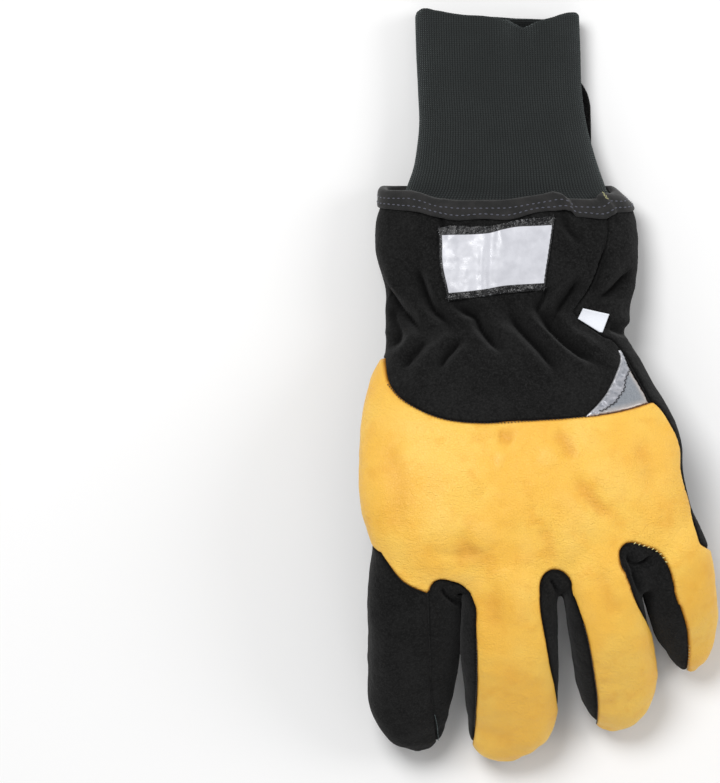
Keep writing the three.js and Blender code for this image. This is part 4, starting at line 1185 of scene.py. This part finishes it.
cuff = {
    "length": 81.0, "width": 73.5, "height": 20.0, "wall": 2.2, "inset": 17.0, "tabWall": 2.3,
    "ribs": 146, "pointsPerRib": 5, "rows": 46, "ribDepth": 0.34,
    # the valley in the upper layer, with a shoulder on each side, grows towards the mouth
    "valleyX": -8.7, "valleyDepth": 4.6, "valleyWidth": 6.0, "valleyFrom": 38,
    "shoulderOff": 13, "shoulderRise": 0.9, "shoulderWidth": 6, "shoulderFrom": 30, "fullAt": 80,
    "unevenness": 0.45, "slack": 2.9, "slackPer": 0.2, "overlap": 1.3,
    "shape": [  # along, left, right, rise, top
        (0, -.584, .635, 1, 1.12), (.03, -.572, .623, 1, 1.115), (.11, -.541, .592, .6, 1.1),
        (.239, -.516, .549, .05, 1.08), (.35, -.504, .518, 0, 1.05), (.533, -.51, .488, 0, 1.03),
        (.76, -.522, .479, 0, 1.01), (1, -.529, .469, 0, 1)],
    "frontEdge": [
        (-55.4, 165.6), (-54.9, 167.6), (-53.4, 169.1), (-46.5, 169.0), (-40.2, 167.8), (-33.9, 166.9),
        (-26.3, 166.5), (-18.7, 165.5), (-13.7, 164.6), (-9.9, 162.6), (-7.6, 161.4), (-4.9, 162.0),
        (-1.1, 163.9), (4.0, 165.2), (7.2, 166.0), (11.6, 167.5), (15.5, 168.2), (17.6, 168.0),
        (18.9, 167.0), (19.6, 165.2)],
    "backEdge": [(-55.4, 165.6), (-54, 167), (-40, 167.2), (-21.2, 166.6), (-14.9, 166.2), (-11.2, 165.9),
                 (-5, 165.7), (5.3, 165.5), (16, 166.4), (19.6, 165.2)],
}
leatherWall = 2.6  # the gauntlet's leather with its lining
gauntletFloor = hand["floor"] + leatherWall + 0.3  # the gauntlet's inner floor
cuffMiddle = bodySections(np.array([0, .065]))["centre"][:, 0].mean()


def cuffRings(sides):
    u, v = ovalShares(np.linspace(-np.pi / 2, 1.5 * np.pi, 721)[:-1])
    stations, rings = [], []

    def ring(x, y, low, high, half, floor):
        z = np.maximum((low + high) / 2 + v * (high - low) / 2, floor)
        points = np.column_stack([x + u * half, np.full(len(u), y), z])
        loop = np.vstack([points, points[:1]])
        run = runOf(loop)
        share = np.linspace(0, run[-1], sides + 1)[:-1]
        rings.append(np.column_stack([np.interp(share, run, loop[:, k]) for k in range(3)]))
        stations.append(y)

    for depth in (cuff["inset"], cuff["inset"] * 0.55):
        at = {k: s[0] for k, s in bodySections(np.array([depth / hand["bodyLength"]])).items()}
        slack = cuff["slack"] + (cuff["inset"] - depth) * cuff["slackPer"]
        middle, half = at["centre"][2], at["b"] - slack
        ring(at["centre"][0], -depth, middle - half, middle + half, at["a"] - slack,
             gauntletFloor + cuff["tabWall"])
    for along, left, right, rise, top in cuff["shape"]:
        floor = cuff["tabWall"] + rise * gauntletFloor
        ring(cuffMiddle + (left + right) / 2 * cuff["width"], along * cuff["length"],
             floor - cuff["overlap"],
             (floor + cuff["tabWall"]) / 2 + top * cuff["height"], (right - left) / 2 * cuff["width"],
             floor)
    return np.array(stations), np.array(rings)


def ribTree():
    tree, given, result = newTree("knitRibs", [
        ("Ribs", "NodeSocketFloat", 100.0), ("Depth", "NodeSocketFloat", 0.0004),
        ("Material", "NodeSocketMaterial", None)])
    link = tree.links.new
    place = tree.nodes.new("GeometryNodeInputNamedAttribute")
    place.inputs["Name"].default_value = "around"
    wave = [tree.nodes.new("ShaderNodeMath") for _ in range(5)]
    for step, kind in zip(wave, ("MULTIPLY", "MULTIPLY", "COSINE", "ABSOLUTE", "SUBTRACT")):
        step.operation = kind
    link(place.outputs["Attribute"], wave[0].inputs[0])
    link(given.outputs["Ribs"], wave[0].inputs[1])
    link(wave[0].outputs[0], wave[1].inputs[0])
    wave[1].inputs[1].default_value = math.pi
    link(wave[1].outputs[0], wave[2].inputs[0])
    link(wave[2].outputs[0], wave[3].inputs[0])
    link(wave[3].outputs[0], wave[4].inputs[0])
    wave[4].inputs[1].default_value = 0.65
    depth = tree.nodes.new("ShaderNodeMath")
    depth.operation = "MULTIPLY"
    link(wave[4].outputs[0], depth.inputs[0])
    link(given.outputs["Depth"], depth.inputs[1])
    normal = tree.nodes.new("GeometryNodeInputNormal")
    offset = tree.nodes.new("ShaderNodeVectorMath")
    offset.operation = "SCALE"
    link(normal.outputs[0], offset.inputs[0])
    link(depth.outputs[0], offset.inputs["Scale"])
    moved = tree.nodes.new("GeometryNodeSetPosition")
    link(given.outputs["Geometry"], moved.inputs["Geometry"])
    link(offset.outputs[0], moved.inputs["Offset"])
    real = tree.nodes.new("GeometryNodeRealizeInstances")
    finish = tree.nodes.new("GeometryNodeSetMaterial")
    link(moved.outputs[0], real.inputs[0])
    link(real.outputs[0], finish.inputs["Geometry"])
    link(given.outputs["Material"], finish.inputs["Material"])
    link(finish.outputs[0], result.inputs[0])
    return tree


def knitMaterial():
    made, tree, shader = newMaterial("cuffKnit", 0.9,
        **{"Sheen Weight": 0.3, "Sheen Roughness": 0.5, "Sheen Tint": (0.75, 0.85, 0.85, 1),
           "Specular IOR Level": 0.15})
    around, down = attribute(tree, "around"), attribute(tree, "down")
    rib = maths(tree, "ABSOLUTE", maths(tree, "COSINE",
        maths(tree, "MULTIPLY", around, cuff["ribs"] * math.pi)))
    # loops lie in small vees down each rib
    vee = maths(tree, "ADD", maths(tree, "MULTIPLY", down, 1.0 / 0.95), maths(tree, "MULTIPLY", rib, 0.45))
    loop = maths(tree, "ABSOLUTE", maths(tree, "SINE", maths(tree, "MULTIPLY", vee, math.pi)))
    fluff = noiseOf(tree, 0.4, 2.0)
    # darker in the rib valleys and between the loops: painted shade
    colour = mixColours(tree, ranged(tree, rib, 0.1, 0.8), linear(16, 17, 17), linear(45, 48, 48))
    colour = mixColours(tree, ranged(tree, loop, 0.0, 0.55, 0.7, 0.0), colour, linear(13, 14, 14))
    colour = mixColours(tree, ranged(tree, fluff, 0.6, 0.8, 0.0, 0.35), colour, linear(88, 94, 93))
    colour = mixColours(tree, ranged(tree, noiseOf(tree, 17.0, 2.0), 0.35, 0.65, 0.0, 0.3), colour,
                        linear(28, 30, 30))
    tree.links.new(colour, shader.inputs["Base Color"])
    bump = bumpOf(tree, loop, 0.24, 0.9)
    bump = bumpOf(tree, fluff, 0.1, 0.6, bump)
    tree.links.new(bump, shader.inputs["Normal"])
    return made


def makeCuff():
    sides = cuff["ribs"] * cuff["pointsPerRib"]
    stations, rings = cuffRings(sides)
    last = curveAt(stations, rings, np.array([cuff["length"]]))[0]
    low, high = last[:, 2].min(), last[:, 2].max()
    upper = smoothStep(0.25, 0.75, (last[:, 2] - low) / (high - low))
    front = curveAt(*np.array(cuff["frontEdge"]).T, last[:, 0])
    back = curveAt(*np.array(cuff["backEdge"]).T, last[:, 0])
    end = (back + (front - back) * upper) - hand["rimY"]
    share = np.linspace(0, 1, cuff["rows"])
    points, down = [], []
    each = np.arange(sides)
    for t in share:
        y = -cuff["inset"] + (end + cuff["inset"]) * t
        held = np.clip(y, stations[0], stations[-1])
        at = curveAt(stations, rings, held)[each, each]
        at[:, 1] = y
        valley = mound(at[:, 0] - cuff["valleyX"], cuff["valleyWidth"])
        valley = smoothStep(cuff["valleyFrom"], cuff["fullAt"], y) * valley
        at[:, 2] -= valley * upper * cuff["valleyDepth"]
        shoulder = mound(np.abs(at[:, 0] - cuff["valleyX"]) - cuff["shoulderOff"], cuff["shoulderWidth"])
        shoulder = smoothStep(cuff["shoulderFrom"], cuff["fullAt"], y) * shoulder
        at[:, 2] += shoulder * upper * cuff["shoulderRise"]
        points.append(at)
        down.append(y)
    points, down = np.array(points), np.array(down)
    flat = points.reshape(-1, 3)
    flat[:, 1] += hand["rimY"]
    soft = np.array([noise.noise(Vector((p[0] * 0.09, p[1] * 0.05, p[2] * 0.09))) for p in flat.tolist()])
    flat[:, 2] += cuff["unevenness"] * soft * upper.repeat(len(share)).reshape(sides, -1).T.ravel()
    mesh = meshData("knit_cuff_tube", flat, ringFaces(len(share), sides))
    centre = flat[:sides].mean(0)
    outward = mesh.polygons[sides // 4].normal.dot(Vector(flat[sides // 4] - centre))
    if outward < 0:
        mesh.flip_normals()
    paint(mesh, "around", np.tile(each / sides, len(share)))
    paint(mesh, "down", down)
    made = newObject("knit_cuff_tube", mesh)
    ribbed = made.modifiers.new("ribs", "NODES")
    tree = ribTree()
    ribbed.node_group = tree
    ribbed[inputOf(tree, "Ribs")] = float(cuff["ribs"])
    ribbed[inputOf(tree, "Depth")] = cuff["ribDepth"] * 0.001
    ribbed[inputOf(tree, "Material")] = knitMaterial()
    applied(made)
    walled(made, cuff["wall"] - 0.5)
    made.data.shade_smooth()
    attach(made, "root")
    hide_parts("knit_cuff")


makeCuff()
print("knit cuff made")

# binding: tape folded over the gauntlet's rim, with a pleat at each gather

binding = {
    "profile": [  # over the rim (down is +), out from the leather
        (7.0, .15), (7.2, .8), (6.8, 1.3), (5.6, 1.45), (3.8, 1.5), (1.4, 1.7), (-.3, 1.5), (-1.5, .6),
        (-1.9, -.8), (-1.4, -2.2), (-.2, -3.0), (2.0, -3.1), (5.0, -3.0), (7.0, -2.9)],
    "pleats": [{"x": -44.6, "reach": 7, "height": 1.3}, {"x": 8.6, "reach": 6, "height": 1.4},
               {"x": 25.5, "reach": 3, "height": .8}],
    # the tape shows less where it is pulled over the rim
    "narrowX": -1.0, "narrowWidth": 9.0, "narrow": 0.2,
    "pleatBack": 0.8, "pleatPull": 0.3,  # a pleat ends at a step, and pulls the tape up
    "wave": 0.35, "waveTurn": 0.31, "waveStart": 0.7, "waveUnder": 4,  # its lower edge waves
    "ripple": 0.3, "rippleTurn": 0.42, "evening": 6, "clear": 0.12, "stitchClear": 0.34,
    "wall": 0.7, "stitchRows": (2.0, 4.9), "stitchPitch": 2.6, "stitchLength": 1.5, "thread": 0.55,
    "stitchOver": 1.52, "sides": 480,
}


def bindingMaterial():
    made, tree, shader = newMaterial("bindingTape", 0.78,
        **{"Sheen Weight": 0.15, "Specular IOR Level": 0.3})
    where = node(tree, "ShaderNodeTexCoord")
    weave = node(tree, "ShaderNodeTexWave", wave_type="BANDS", bands_direction="DIAGONAL", Scale=420.0,
                 Distortion=1.2)
    tree.links.new(where.outputs["Object"], weave.inputs["Vector"])
    patches = noiseOf(tree, 6.0, 2.0)
    colour = mixColours(tree, ranged(tree, patches, 0.35, 0.65), linear(24, 24, 24), linear(35, 34, 34))
    colour = mixColours(tree, ranged(tree, noiseOf(tree, 0.5, 2.0), 0.6, 0.8, 0.0, 0.4), colour,
                        linear(56, 55, 55))
    tree.links.new(colour, shader.inputs["Base Color"])
    bump = bumpOf(tree, weave.outputs["Fac"], 0.07, 0.6)
    bump = bumpOf(tree, noiseOf(tree, 3.2, 2.0), 0.4, 0.5, bump)
    tree.links.new(bump, shader.inputs["Normal"])
    return made


def rimAngles(count):  # places round the rim, evenly spaced: the unit section's across and upward shares
    unit = np.column_stack(ovalShares(np.linspace(-np.pi / 2, 1.5 * np.pi, 2001)[:-1]))
    points = surfaceAt(unit, np.full(len(unit), hand["rimY"]))
    loop = np.vstack([points, points[:1]])
    run = runOf(loop)
    share = np.linspace(0, run[-1], count + 1)[:-1]
    closed = np.vstack([unit, unit[:1]])
    return np.column_stack([np.interp(share, run, closed[:, k]) for k in range(2)])


def surfaceAt(unit, y):
    at = bodySections((hand["rimY"] - y) / hand["bodyLength"])
    aside, over = (at["a"] * unit[:, 0])[:, None], (at["b"] * unit[:, 1])[:, None]
    points = at["centre"] + aside * at["across"] + over * at["upward"]
    points[:, 2] = np.maximum(points[:, 2], hand["floor"])
    return points


def bindingRow(unit, down, off):  # a row of the tape: places on it and the way each faces
    mean = surfaceAt(unit, np.full(len(unit), hand["rimY"]))
    upper = upperShare(mean[:, 2])
    lifted = np.zeros(len(unit))
    for pleat in binding["pleats"]:
        before = pleat["x"] - mean[:, 0]
        step = np.where(before > 0, mound(before, pleat["reach"]), mound(before, binding["pleatBack"]))
        lifted += pleat["height"] * upper * step
    shorter = binding["narrow"] * mound(mean[:, 0] - binding["narrowX"], binding["narrowWidth"])
    wave = binding["wave"] * np.sin(mean[:, 0] * binding["waveTurn"] + binding["waveStart"]) * upper
    wave *= down > binding["waveUnder"]
    reached = down * (1 - shorter * (down > 0))
    y = hand["rimY"] + rimRise(mean[:, 0], mean[:, 2]) - reached - wave - binding["pleatPull"] * lifted
    points = surfaceAt(unit, y)
    facing = np.zeros_like(points)
    for k, p in enumerate(points.tolist()):
        level = max(min(p[1], hand["rimY"] + 2), p[1] - 6)
        place, normal, _, _ = skinTree.find_nearest(Vector((p[0], level, p[2])))
        points[k, 0], points[k, 2] = place.x, place.z
        facing[k] = (normal.x, 0, normal.z)
    facing /= np.maximum(np.linalg.norm(facing, axis=1), 1e-6)[:, None]
    for _ in range(binding["evening"]):
        facing = (np.roll(facing, 1, 0) + 2 * facing + np.roll(facing, -1, 0)) / 4
        points[:, [0, 2]] = ((np.roll(points, 1, 0) + 2 * points + np.roll(points, -1, 0)) / 4)[:, [0, 2]]
    ripple = binding["ripple"] * np.sin(mean[:, 0] * binding["rippleTurn"]) * upper
    reach = off + (lifted + ripple) * (off > 0)
    points += facing * reach[:, None]
    lowest = binding["clear"] if off > 0 else hand["floor"] + leatherWall
    points[:, 2] = np.maximum(points[:, 2], lowest)
    return points, facing


def makeBinding():
    count = binding["sides"]
    unit = rimAngles(count)
    rows = np.array([bindingRow(unit, down, off)[0] for down, off in binding["profile"]])
    mesh = meshData("edge_tape", rows.reshape(-1, 3), ringFaces(len(rows), count))
    face = mesh.polygons[4 * count + count // 2]
    if face.normal.z < 0:
        mesh.flip_normals()
    mesh.shade_smooth()
    made = newObject("edge_tape", mesh)
    finer = made.modifiers.new("finer", "SUBSURF")
    finer.levels = finer.render_levels = 1
    walled(made, binding["wall"])
    dressed(made, bindingMaterial())
    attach(made, "root")
    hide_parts("edge_binding")
    lines = []
    for down in binding["stitchRows"]:
        row, facing = bindingRow(unit, down, binding["stitchOver"])
        row[:, 2] = np.maximum(row[:, 2], binding["stitchClear"])
        lines.append((np.vstack([row, row[:1]]), np.vstack([facing, facing[:1]])))
    stitchRows("binding_stitches", lines, binding["stitchPitch"], binding["stitchLength"],
               binding["thread"],
               threadMaterial("bindingThread", (84, 86, 100)))


makeBinding()
print("binding made")

# label, tag and pull tab

label = {
    "wall": 0.6, "over": 0.75,
    "rows": [  # share across, then the edges of the strips and the field in plan millimetres
        (0, 71.2, 67.9, 42.0, 38.6), (.1, 72.2, 68.1, 42.3, 39.0), (.3, 72.2, 68.3, 43.2, 40.0),
        (.45, 72.2, 69.0, 44.2, 41.0), (.55, 73.3, 70.4, 45.1, 41.7), (.65, 74.5, 71.5, 45.6, 42.1),
        (.85, 75.8, 72.1, 46.1, 42.8), (1, 76.7, 72.5, 46.5, 43.4)],
    # share up, left, right
    "sides": [(0, -40.9, 2.8), (.12, -41.6, 3.0), (.5, -44.4, 4.9), (.87, -44.8, 6.7), (1, -45.2, 7.2)],
    "bottom": .12, "top": .88, "left": .03, "right": .985,
    "creases": [(.36, .05, .035, .55, "low"), (.42, .05, .04, -.45, "all"), (.62, -.1, .05, .4, "high")],
    "stitchPitch": 2.2, "stitchLength": 1.5, "thread": 0.3, "nu": 72, "nv": 50,
}


def labelMaterial():
    made, tree, shader = newMaterial("labelVinyl", 0.3, **{"Specular IOR Level": 0.35})
    across, up = attribute(tree, "labelU"), attribute(tree, "labelV")
    field = maths(tree, "MULTIPLY", ranged(tree, up, label["bottom"] - 0.004, label["bottom"] + 0.004),
                  ranged(tree, up, label["top"] - 0.004, label["top"] + 0.004, 1.0, 0.0))
    field = maths(tree, "MULTIPLY", field, ranged(tree, across, label["left"] - 0.004,
        label["left"] + 0.004))
    field = maths(tree, "MULTIPLY", field, ranged(tree, across, label["right"] - 0.003,
        label["right"] + 0.003, 1.0, 0.0))
    # sparse painted glints on the black strips
    glints = noiseOf(tree, 1.3, 4.0, 0.75, (1, 1.5, 1))
    dark = mixColours(tree, ranged(tree, glints, 0.6, 0.68, 0.0, 0.7), linear(13, 13, 15),
                      linear(160, 162, 168))
    pale = mixColours(tree, ranged(tree, noiseOf(tree, 7.0, 2.0), 0.35, 0.65), linear(196, 197, 204),
                      linear(206, 207, 214))
    tree.links.new(mixColours(tree, field, dark, pale), shader.inputs["Base Color"])
    rough = ranged(tree, noiseOf(tree, 4.0, 3.0), 0.35, 0.65, 0.16, 0.4)
    tree.links.new(rough, shader.inputs["Roughness"])
    crumple = maths(tree, "MULTIPLY", maths(tree, "SUBTRACT", 1.0, field), noiseOf(tree, 1.4, 3.0))
    bump = bumpOf(tree, crumple, 0.6, 0.8)
    bump = bumpOf(tree, noiseOf(tree, 9.0, 1.0, 0.5, (1.6, 0.5, 1)), 0.7, 0.4, bump)
    tree.links.new(bump, shader.inputs["Normal"])
    return made


def patchGrid(corners, nu, nv):  # corners: low left, low right, high right, high left
    u, v = np.meshgrid(np.linspace(0, 1, nu), np.linspace(0, 1, nv))
    c = [np.array(p, float) for p in corners]
    plan = (c[0] * ((1 - u) * (1 - v))[..., None] + c[1] * (u * (1 - v))[..., None]
            + c[2] * (u * v)[..., None] + c[3] * ((1 - u) * v)[..., None])
    k = np.arange(nu * nv).reshape(nv, nu)
    faces = np.column_stack([k[:-1, :-1].ravel(), k[:-1, 1:].ravel(), k[1:, 1:].ravel(),
        k[1:, :-1].ravel()])
    return plan, faces, u, v


def heightsUnder(plan):  # the skin's height under each place of a grid
    return np.array([[onTop(skinTree, x, y)[0].z for x, y in row] for row in plan.tolist()])


def evened(height, times):
    for _ in range(times):
        padded = np.pad(height, 1, mode="edge")
        height = (padded[:-2, 1:-1] + padded[2:, 1:-1] + padded[1:-1, :-2] + padded[1:-1, 2:]) / 4
    return height


def makeLabel():
    plan, faces, u, v = patchGrid([(0, 0), (1, 0), (1, 1), (0, 1)], label["nu"], label["nv"])
    rows, sides = np.array(label["rows"]), np.array(label["sides"])
    top, fieldTop, fieldBottom, bottom = (curveAt(rows[:, 0], rows[:, k], u) for k in (1, 2, 3, 4))
    low, high = label["bottom"], label["top"]
    field = fieldBottom + (fieldTop - fieldBottom) * (v - low) / (high - low)
    y = np.where(v < low, bottom + (fieldBottom - bottom) * v / low,
                 np.where(v > high, fieldTop + (top - fieldTop) * (v - high) / (1 - high), field))
    left, right = (curveAt(sides[:, 0], sides[:, k], v) for k in (1, 2))
    plan = np.dstack([left + (right - left) * u, y])
    height = heightsUnder(plan)
    height = evened(np.maximum(evened(height, 30), evened(height, 4)), 6) + label["over"]
    fades = {"low": smoothStep(0.05, 0.5, 1 - v), "high": smoothStep(0, 0.6, v), "all": 1}
    for at, lean, width, rise, end in label["creases"]:
        height += rise * np.exp(-((u - at - lean * v) / width) ** 2) * fades[end]
    rough = np.array([[noise.noise(Vector((x * 0.35, y * 0.35, 9))) for x, y in row]
                      for row in plan.tolist()])
    border = smoothStep(0.06, 0.0, np.minimum.reduce([v, 1 - v]) - 0.05)
    height += 0.35 * rough * (0.25 + border)
    points = np.dstack([plan, height]).reshape(-1, 3)
    mesh = meshData("label_plate", points, faces)
    paint(mesh, "labelU", u)
    paint(mesh, "labelV", v)
    mesh.shade_smooth()
    made = newObject("label_plate", mesh)
    walled(made, label["wall"])
    dressed(made, labelMaterial())
    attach(made, "root")
    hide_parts("label_patch")
    grid = points.reshape(label["nv"], label["nu"], 3)
    loops = []
    for row in (grid[2], grid[-3], grid[:, 1], grid[:, -2]):
        loops.append((row + (0, 0, 0.12), np.tile((0, 0, 1.0), (len(row), 1))))
    stitchRows("label_stitches", loops, label["stitchPitch"], label["stitchLength"], label["thread"],
               threadMaterial("labelThread", (26, 26, 30)))


tag = {
    "corners": [(17.4, 30.6), (28.2, 23.9), (31.5, 32.5), (19.6, 35.0)],
    "nu": 24, "nv": 16, "wall": 0.7, "over": 0.7, "lift": 1.9, "curl": 0.5,
}


def makeTag():
    plan, faces, u, v = patchGrid(tag["corners"], tag["nu"], tag["nv"])
    height = heightsUnder(plan)
    height = evened(height, 20) + tag["over"] + tag["lift"] * v**1.4 + tag["curl"] * np.sin(u * 3.0 + 0.4)
    mesh = meshData("side_tag", np.dstack([plan, height]).reshape(-1, 3), faces)
    made = newObject("side_tag", mesh)
    walled(made, tag["wall"])
    cloth, tree, shader = newMaterial("tagCloth", 0.75, **{"Sheen Weight": 0.2})
    weave = noiseOf(tree, 0.5, 1.0, 0.5, (1, 3, 1))
    tree.links.new(mixColours(tree, weave, linear(226, 230, 240), linear(244, 247, 252)),
                   shader.inputs["Base Color"])
    tree.links.new(bumpOf(tree, weave, 0.05), shader.inputs["Normal"])
    dressed(made, cloth)
    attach(made, "root")
    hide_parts("size_tag")


tab = {
    "length": 60.0, "width": 74.0, "wall": 2.0, "inset": 9.0, "offset": 3.1, "stitchIn": 3.6,
    "stitchPitch": 2.6, "stitchLength": 1.9, "thread": 0.28,
    "shape": [(0, 1), (.544, 1), (.656, .99), (.75, .94), (.82, .86), (.88, .73), (.936, .54), (.984, .31),
              (1, .14)],
}


def tabHalf(y):
    return curveAt(*np.array(tab["shape"]).T, np.clip(y / tab["length"], 0, 1)) * tab["width"] / 2


def tabLow(y):
    rows = np.array(cuff["shape"])
    return np.interp(np.clip(y, 0, 99) / cuff["length"], rows[:, 0], rows[:, 3]) * gauntletFloor


def makeTab():
    y = np.concatenate([np.linspace(-tab["inset"], 50, 40), np.linspace(51, tab["length"], 22)])
    half, low = tabHalf(y), tabLow(y)
    side = np.linspace(-1, 1, 34)
    edge = np.linspace(-np.pi / 2, np.pi / 2, 9)[1:-1]
    r = tab["wall"] / 2
    rings = []
    for at, w, z in zip(y, half, low):
        w = max(w - r, 0.5)
        upper = [(-s * w, 2 * r) for s in side[::-1]][::-1]
        right = [(w + r * math.cos(e), r + r * math.sin(e)) for e in edge[::-1]]
        lower = [(s * w, 0) for s in side[::-1]]
        left = [(-w - r * math.cos(e), r + r * math.sin(e)) for e in edge]
        loop = sorted(upper) + right + lower + left
        rings.append([(cuffMiddle + tab["offset"] + p[0], hand["rimY"] + at, z + max(p[1], 0.15))
                      for p in loop])
    rings = np.array(rings)
    points, faces = closedTube(rings, 0)
    mesh = meshData("tab_leather", points, faces)
    x = np.abs(points[:, 0] - cuffMiddle - tab["offset"])
    yy = points[:, 1] - hand["rimY"]
    away = np.minimum(tabHalf(yy) - x, (tab["length"] - yy))
    paint(mesh, "seamDist", np.clip(away + 1.4, 0, 20))
    made = newObject("tab_leather", mesh)
    bpy.context.view_layer.objects.active = made
    shell = bmesh.new()
    shell.from_mesh(mesh)
    bmesh.ops.recalc_face_normals(shell, faces=shell.faces)
    shell.to_mesh(mesh)
    shell.free()
    mesh.shade_smooth()
    mesh.materials.append(palmSuede)
    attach(made, "root")
    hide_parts("pull_tab")
    line = []
    inner = tab["stitchIn"]
    ys = np.linspace(4, tab["length"] - inner, 60)
    right = [(tabHalf(y + 0.4) - inner, y) for y in ys if tabHalf(y) > inner + 1]
    outline = right + [(-x, y) for x, y in reversed(right)]
    for z, way in ((-0.05, -1.0), (tab["wall"] + 0.05, 1.0)):
        row = [(cuffMiddle + tab["offset"] + x, hand["rimY"] + y,
                float(tabLow(y)) + z + (0.21 if way < 0 else 0)) for x, y in outline]
        line.append((np.array(row), np.tile((0, 0, way), (len(row), 1))))
    stitchRows("tab_stitches", line, tab["stitchPitch"], tab["stitchLength"], tab["thread"],
               threadMaterial("tabThread", (70, 70, 74)))


straight = {"wave": 0, "waveLength": 1}
edgeRow = {**straight, "pitch": 1.5, "length": .7, "thread": .62, "over": .95, "slot": "gold_leather"}
seamThreads = {  # plan millimetres
    "wavy": {"line": [(40.4, 7.8), (39.3, 5.4), (38.4, 3.2), (38.1, .3), (37.7, -1.2), (36.5, -2.8),
                      (34.9, -5), (33.6, -6.9), (31.4, -8.2), (29.8, -9.4), (27, -10.7)],
             "wave": .32, "waveLength": 1.9, "pitch": .55, "length": .95, "thread": .42, "over": .1,
             "colour": (34, 36, 44), "slot": "reflective_film"},
    "archThree": {"line": [(42.1, -69.2), (46.5, -70.5), (51.1, -72.2), (53.9, -74.2), (56.4, -77.6)],
                  **straight, "pitch": 2.1, "length": 1.3, "thread": .5, "over": .55,
                  "colour": (226, 214, 140), "slot": "gold_leather"},
    "littleTip": {"line": [(67.3, -115.4), (67.4, -120.4), (67.3, -124), (66.9, -126.4)],
                  **straight, "pitch": 1.9, "length": 1.0, "thread": .4, "over": .45,
                  "colour": (190, 172, 112), "slot": "gold_leather"},
    "indexTip": {"line": [(-46.5, -146.5), (-45.6, -150.6), (-45.1, -155.5), (-44.7, -159.5)],
                 **straight, "pitch": 1.1, "length": .55, "thread": .3, "over": .3,
                 "colour": (116, 134, 136), "slot": "palm_suede"},
    "goldEdge": {**edgeRow, "line": [(-67, .7), (-62.2, -5.1), (-54.9, -9.8), (-44, -14.2), (-30.2, -16.1),
        (-7.8, -15.4), (13.8, -14), (26, -12.8)], "colour": (30, 27, 22)},
    "ringEdge": {**edgeRow, "line": [(26.8, -150), (26.4, -138.9), (24.6, -126.6), (21.8, -112.2),
        (19.9, -105.2)], "colour": (28, 25, 22)},
    "middleEdge": {**edgeRow, "line": [(-27.7, -112), (-27.5, -124.4), (-27.7, -140.6), (-28.1, -151)],
                   "colour": (28, 25, 22)},
    "knot": {"line": [(28.2, 86), (29.2, 84.6), (30.0, 83.4)],
             "wave": .3, "waveLength": 1.5, "pitch": .9, "length": 1.3, "thread": .5, "over": 1.9,
             "colour": (168, 166, 120), "slot": "binding_tape"},
}


def makeThreads():
    for name, seam in seamThreads.items():
        line = np.array(seam["line"], float)
        run = runOf(line)
        at = np.linspace(0, run[-1], int(run[-1] / 0.25) + 2)
        line = curveAt(run, line, at)
        along = np.gradient(line, axis=0)
        along /= np.linalg.norm(along, axis=1)[:, None]
        line += np.column_stack([-along[:, 1], along[:, 0]]) * (seam["wave"]
            * np.sin(2 * np.pi * at / seam["waveLength"]))[:, None]
        found = [onTop(skinTree, x, y, seam["over"]) for x, y in line.tolist()]
        found = [pair for pair in found if pair]
        turn = 0.9 if name in ("archThree", "littleTip") else 0.0
        stitchRows(name + "_stitches", [(np.array([p for p, _ in found]), np.array([n for _, n in found]))],
                   seam["pitch"], seam["length"], seam["thread"],
                   threadMaterial(name + "Thread", seam["colour"]), turn)


makeLabel()
makeTag()
makeTab()
makeThreads()
print("label, tag and tab made")

# floor, light and camera

stage = {
    "floor": (0.94, 0.94, 0.94), "size": 1.6, "sky": 0.37,
    "lights": {  # place in metres, power, size
        "main": ((-0.5, 0.7, 1.5), 18.5, 0.8), "side": ((1.2, 0.3, 0.9), 6, 0.8),
        "low": ((0.1, -1.3, 0.8), 3, 0.8)},
}


def finishStage():
    size = stage["size"]
    mesh = meshData("floor", [(-size, -size, 0), (size, -size, 0), (size, size, 0), (-size, size, 0)],
                    [(0, 1, 2, 3)], 1.0)
    floor = newObject("floor", mesh)
    made, _, shader = newMaterial("paleFloor", 0.9)
    shader.inputs["Base Color"].default_value = (*stage["floor"], 1)
    mesh.materials.append(made)


def areaLight(name, place, power, size):
    data = bpy.data.lights.new(name, "AREA")
    data.energy, data.size = power, size
    data.shape = "DISK"
    made = bpy.data.objects.new(name, data)
    made.location = place
    made.rotation_euler = (Vector((0, 0, 0.03)) - Vector(place)).to_track_quat("-Z", "Y").to_euler()
    scene.collection.objects.link(made)


finishStage()
for name, (place, power, size) in stage["lights"].items():
    areaLight(name, place, power, size)
world = bpy.data.worlds.new("studio")
world.use_nodes = True
world.node_tree.nodes["Background"].inputs[0].default_value = (1, 1, 1, 1)
world.node_tree.nodes["Background"].inputs[1].default_value = stage["sky"]
scene.world = world
scene.view_settings.view_transform = "Standard"

camera = {"across": 0.324, "height": 5.0, "x": -0.07987, "y": -0.00191}
lens = bpy.data.cameras.new("camera")
lens.sensor_fit = "HORIZONTAL"
lens.sensor_width = 36
lens.lens = 36 * camera["height"] / camera["across"]
lens.clip_end = 20
eye = bpy.data.objects.new("camera", lens)
eye.location = (camera["x"], camera["y"], camera["height"])
scene.collection.objects.link(eye)
scene.camera = eye
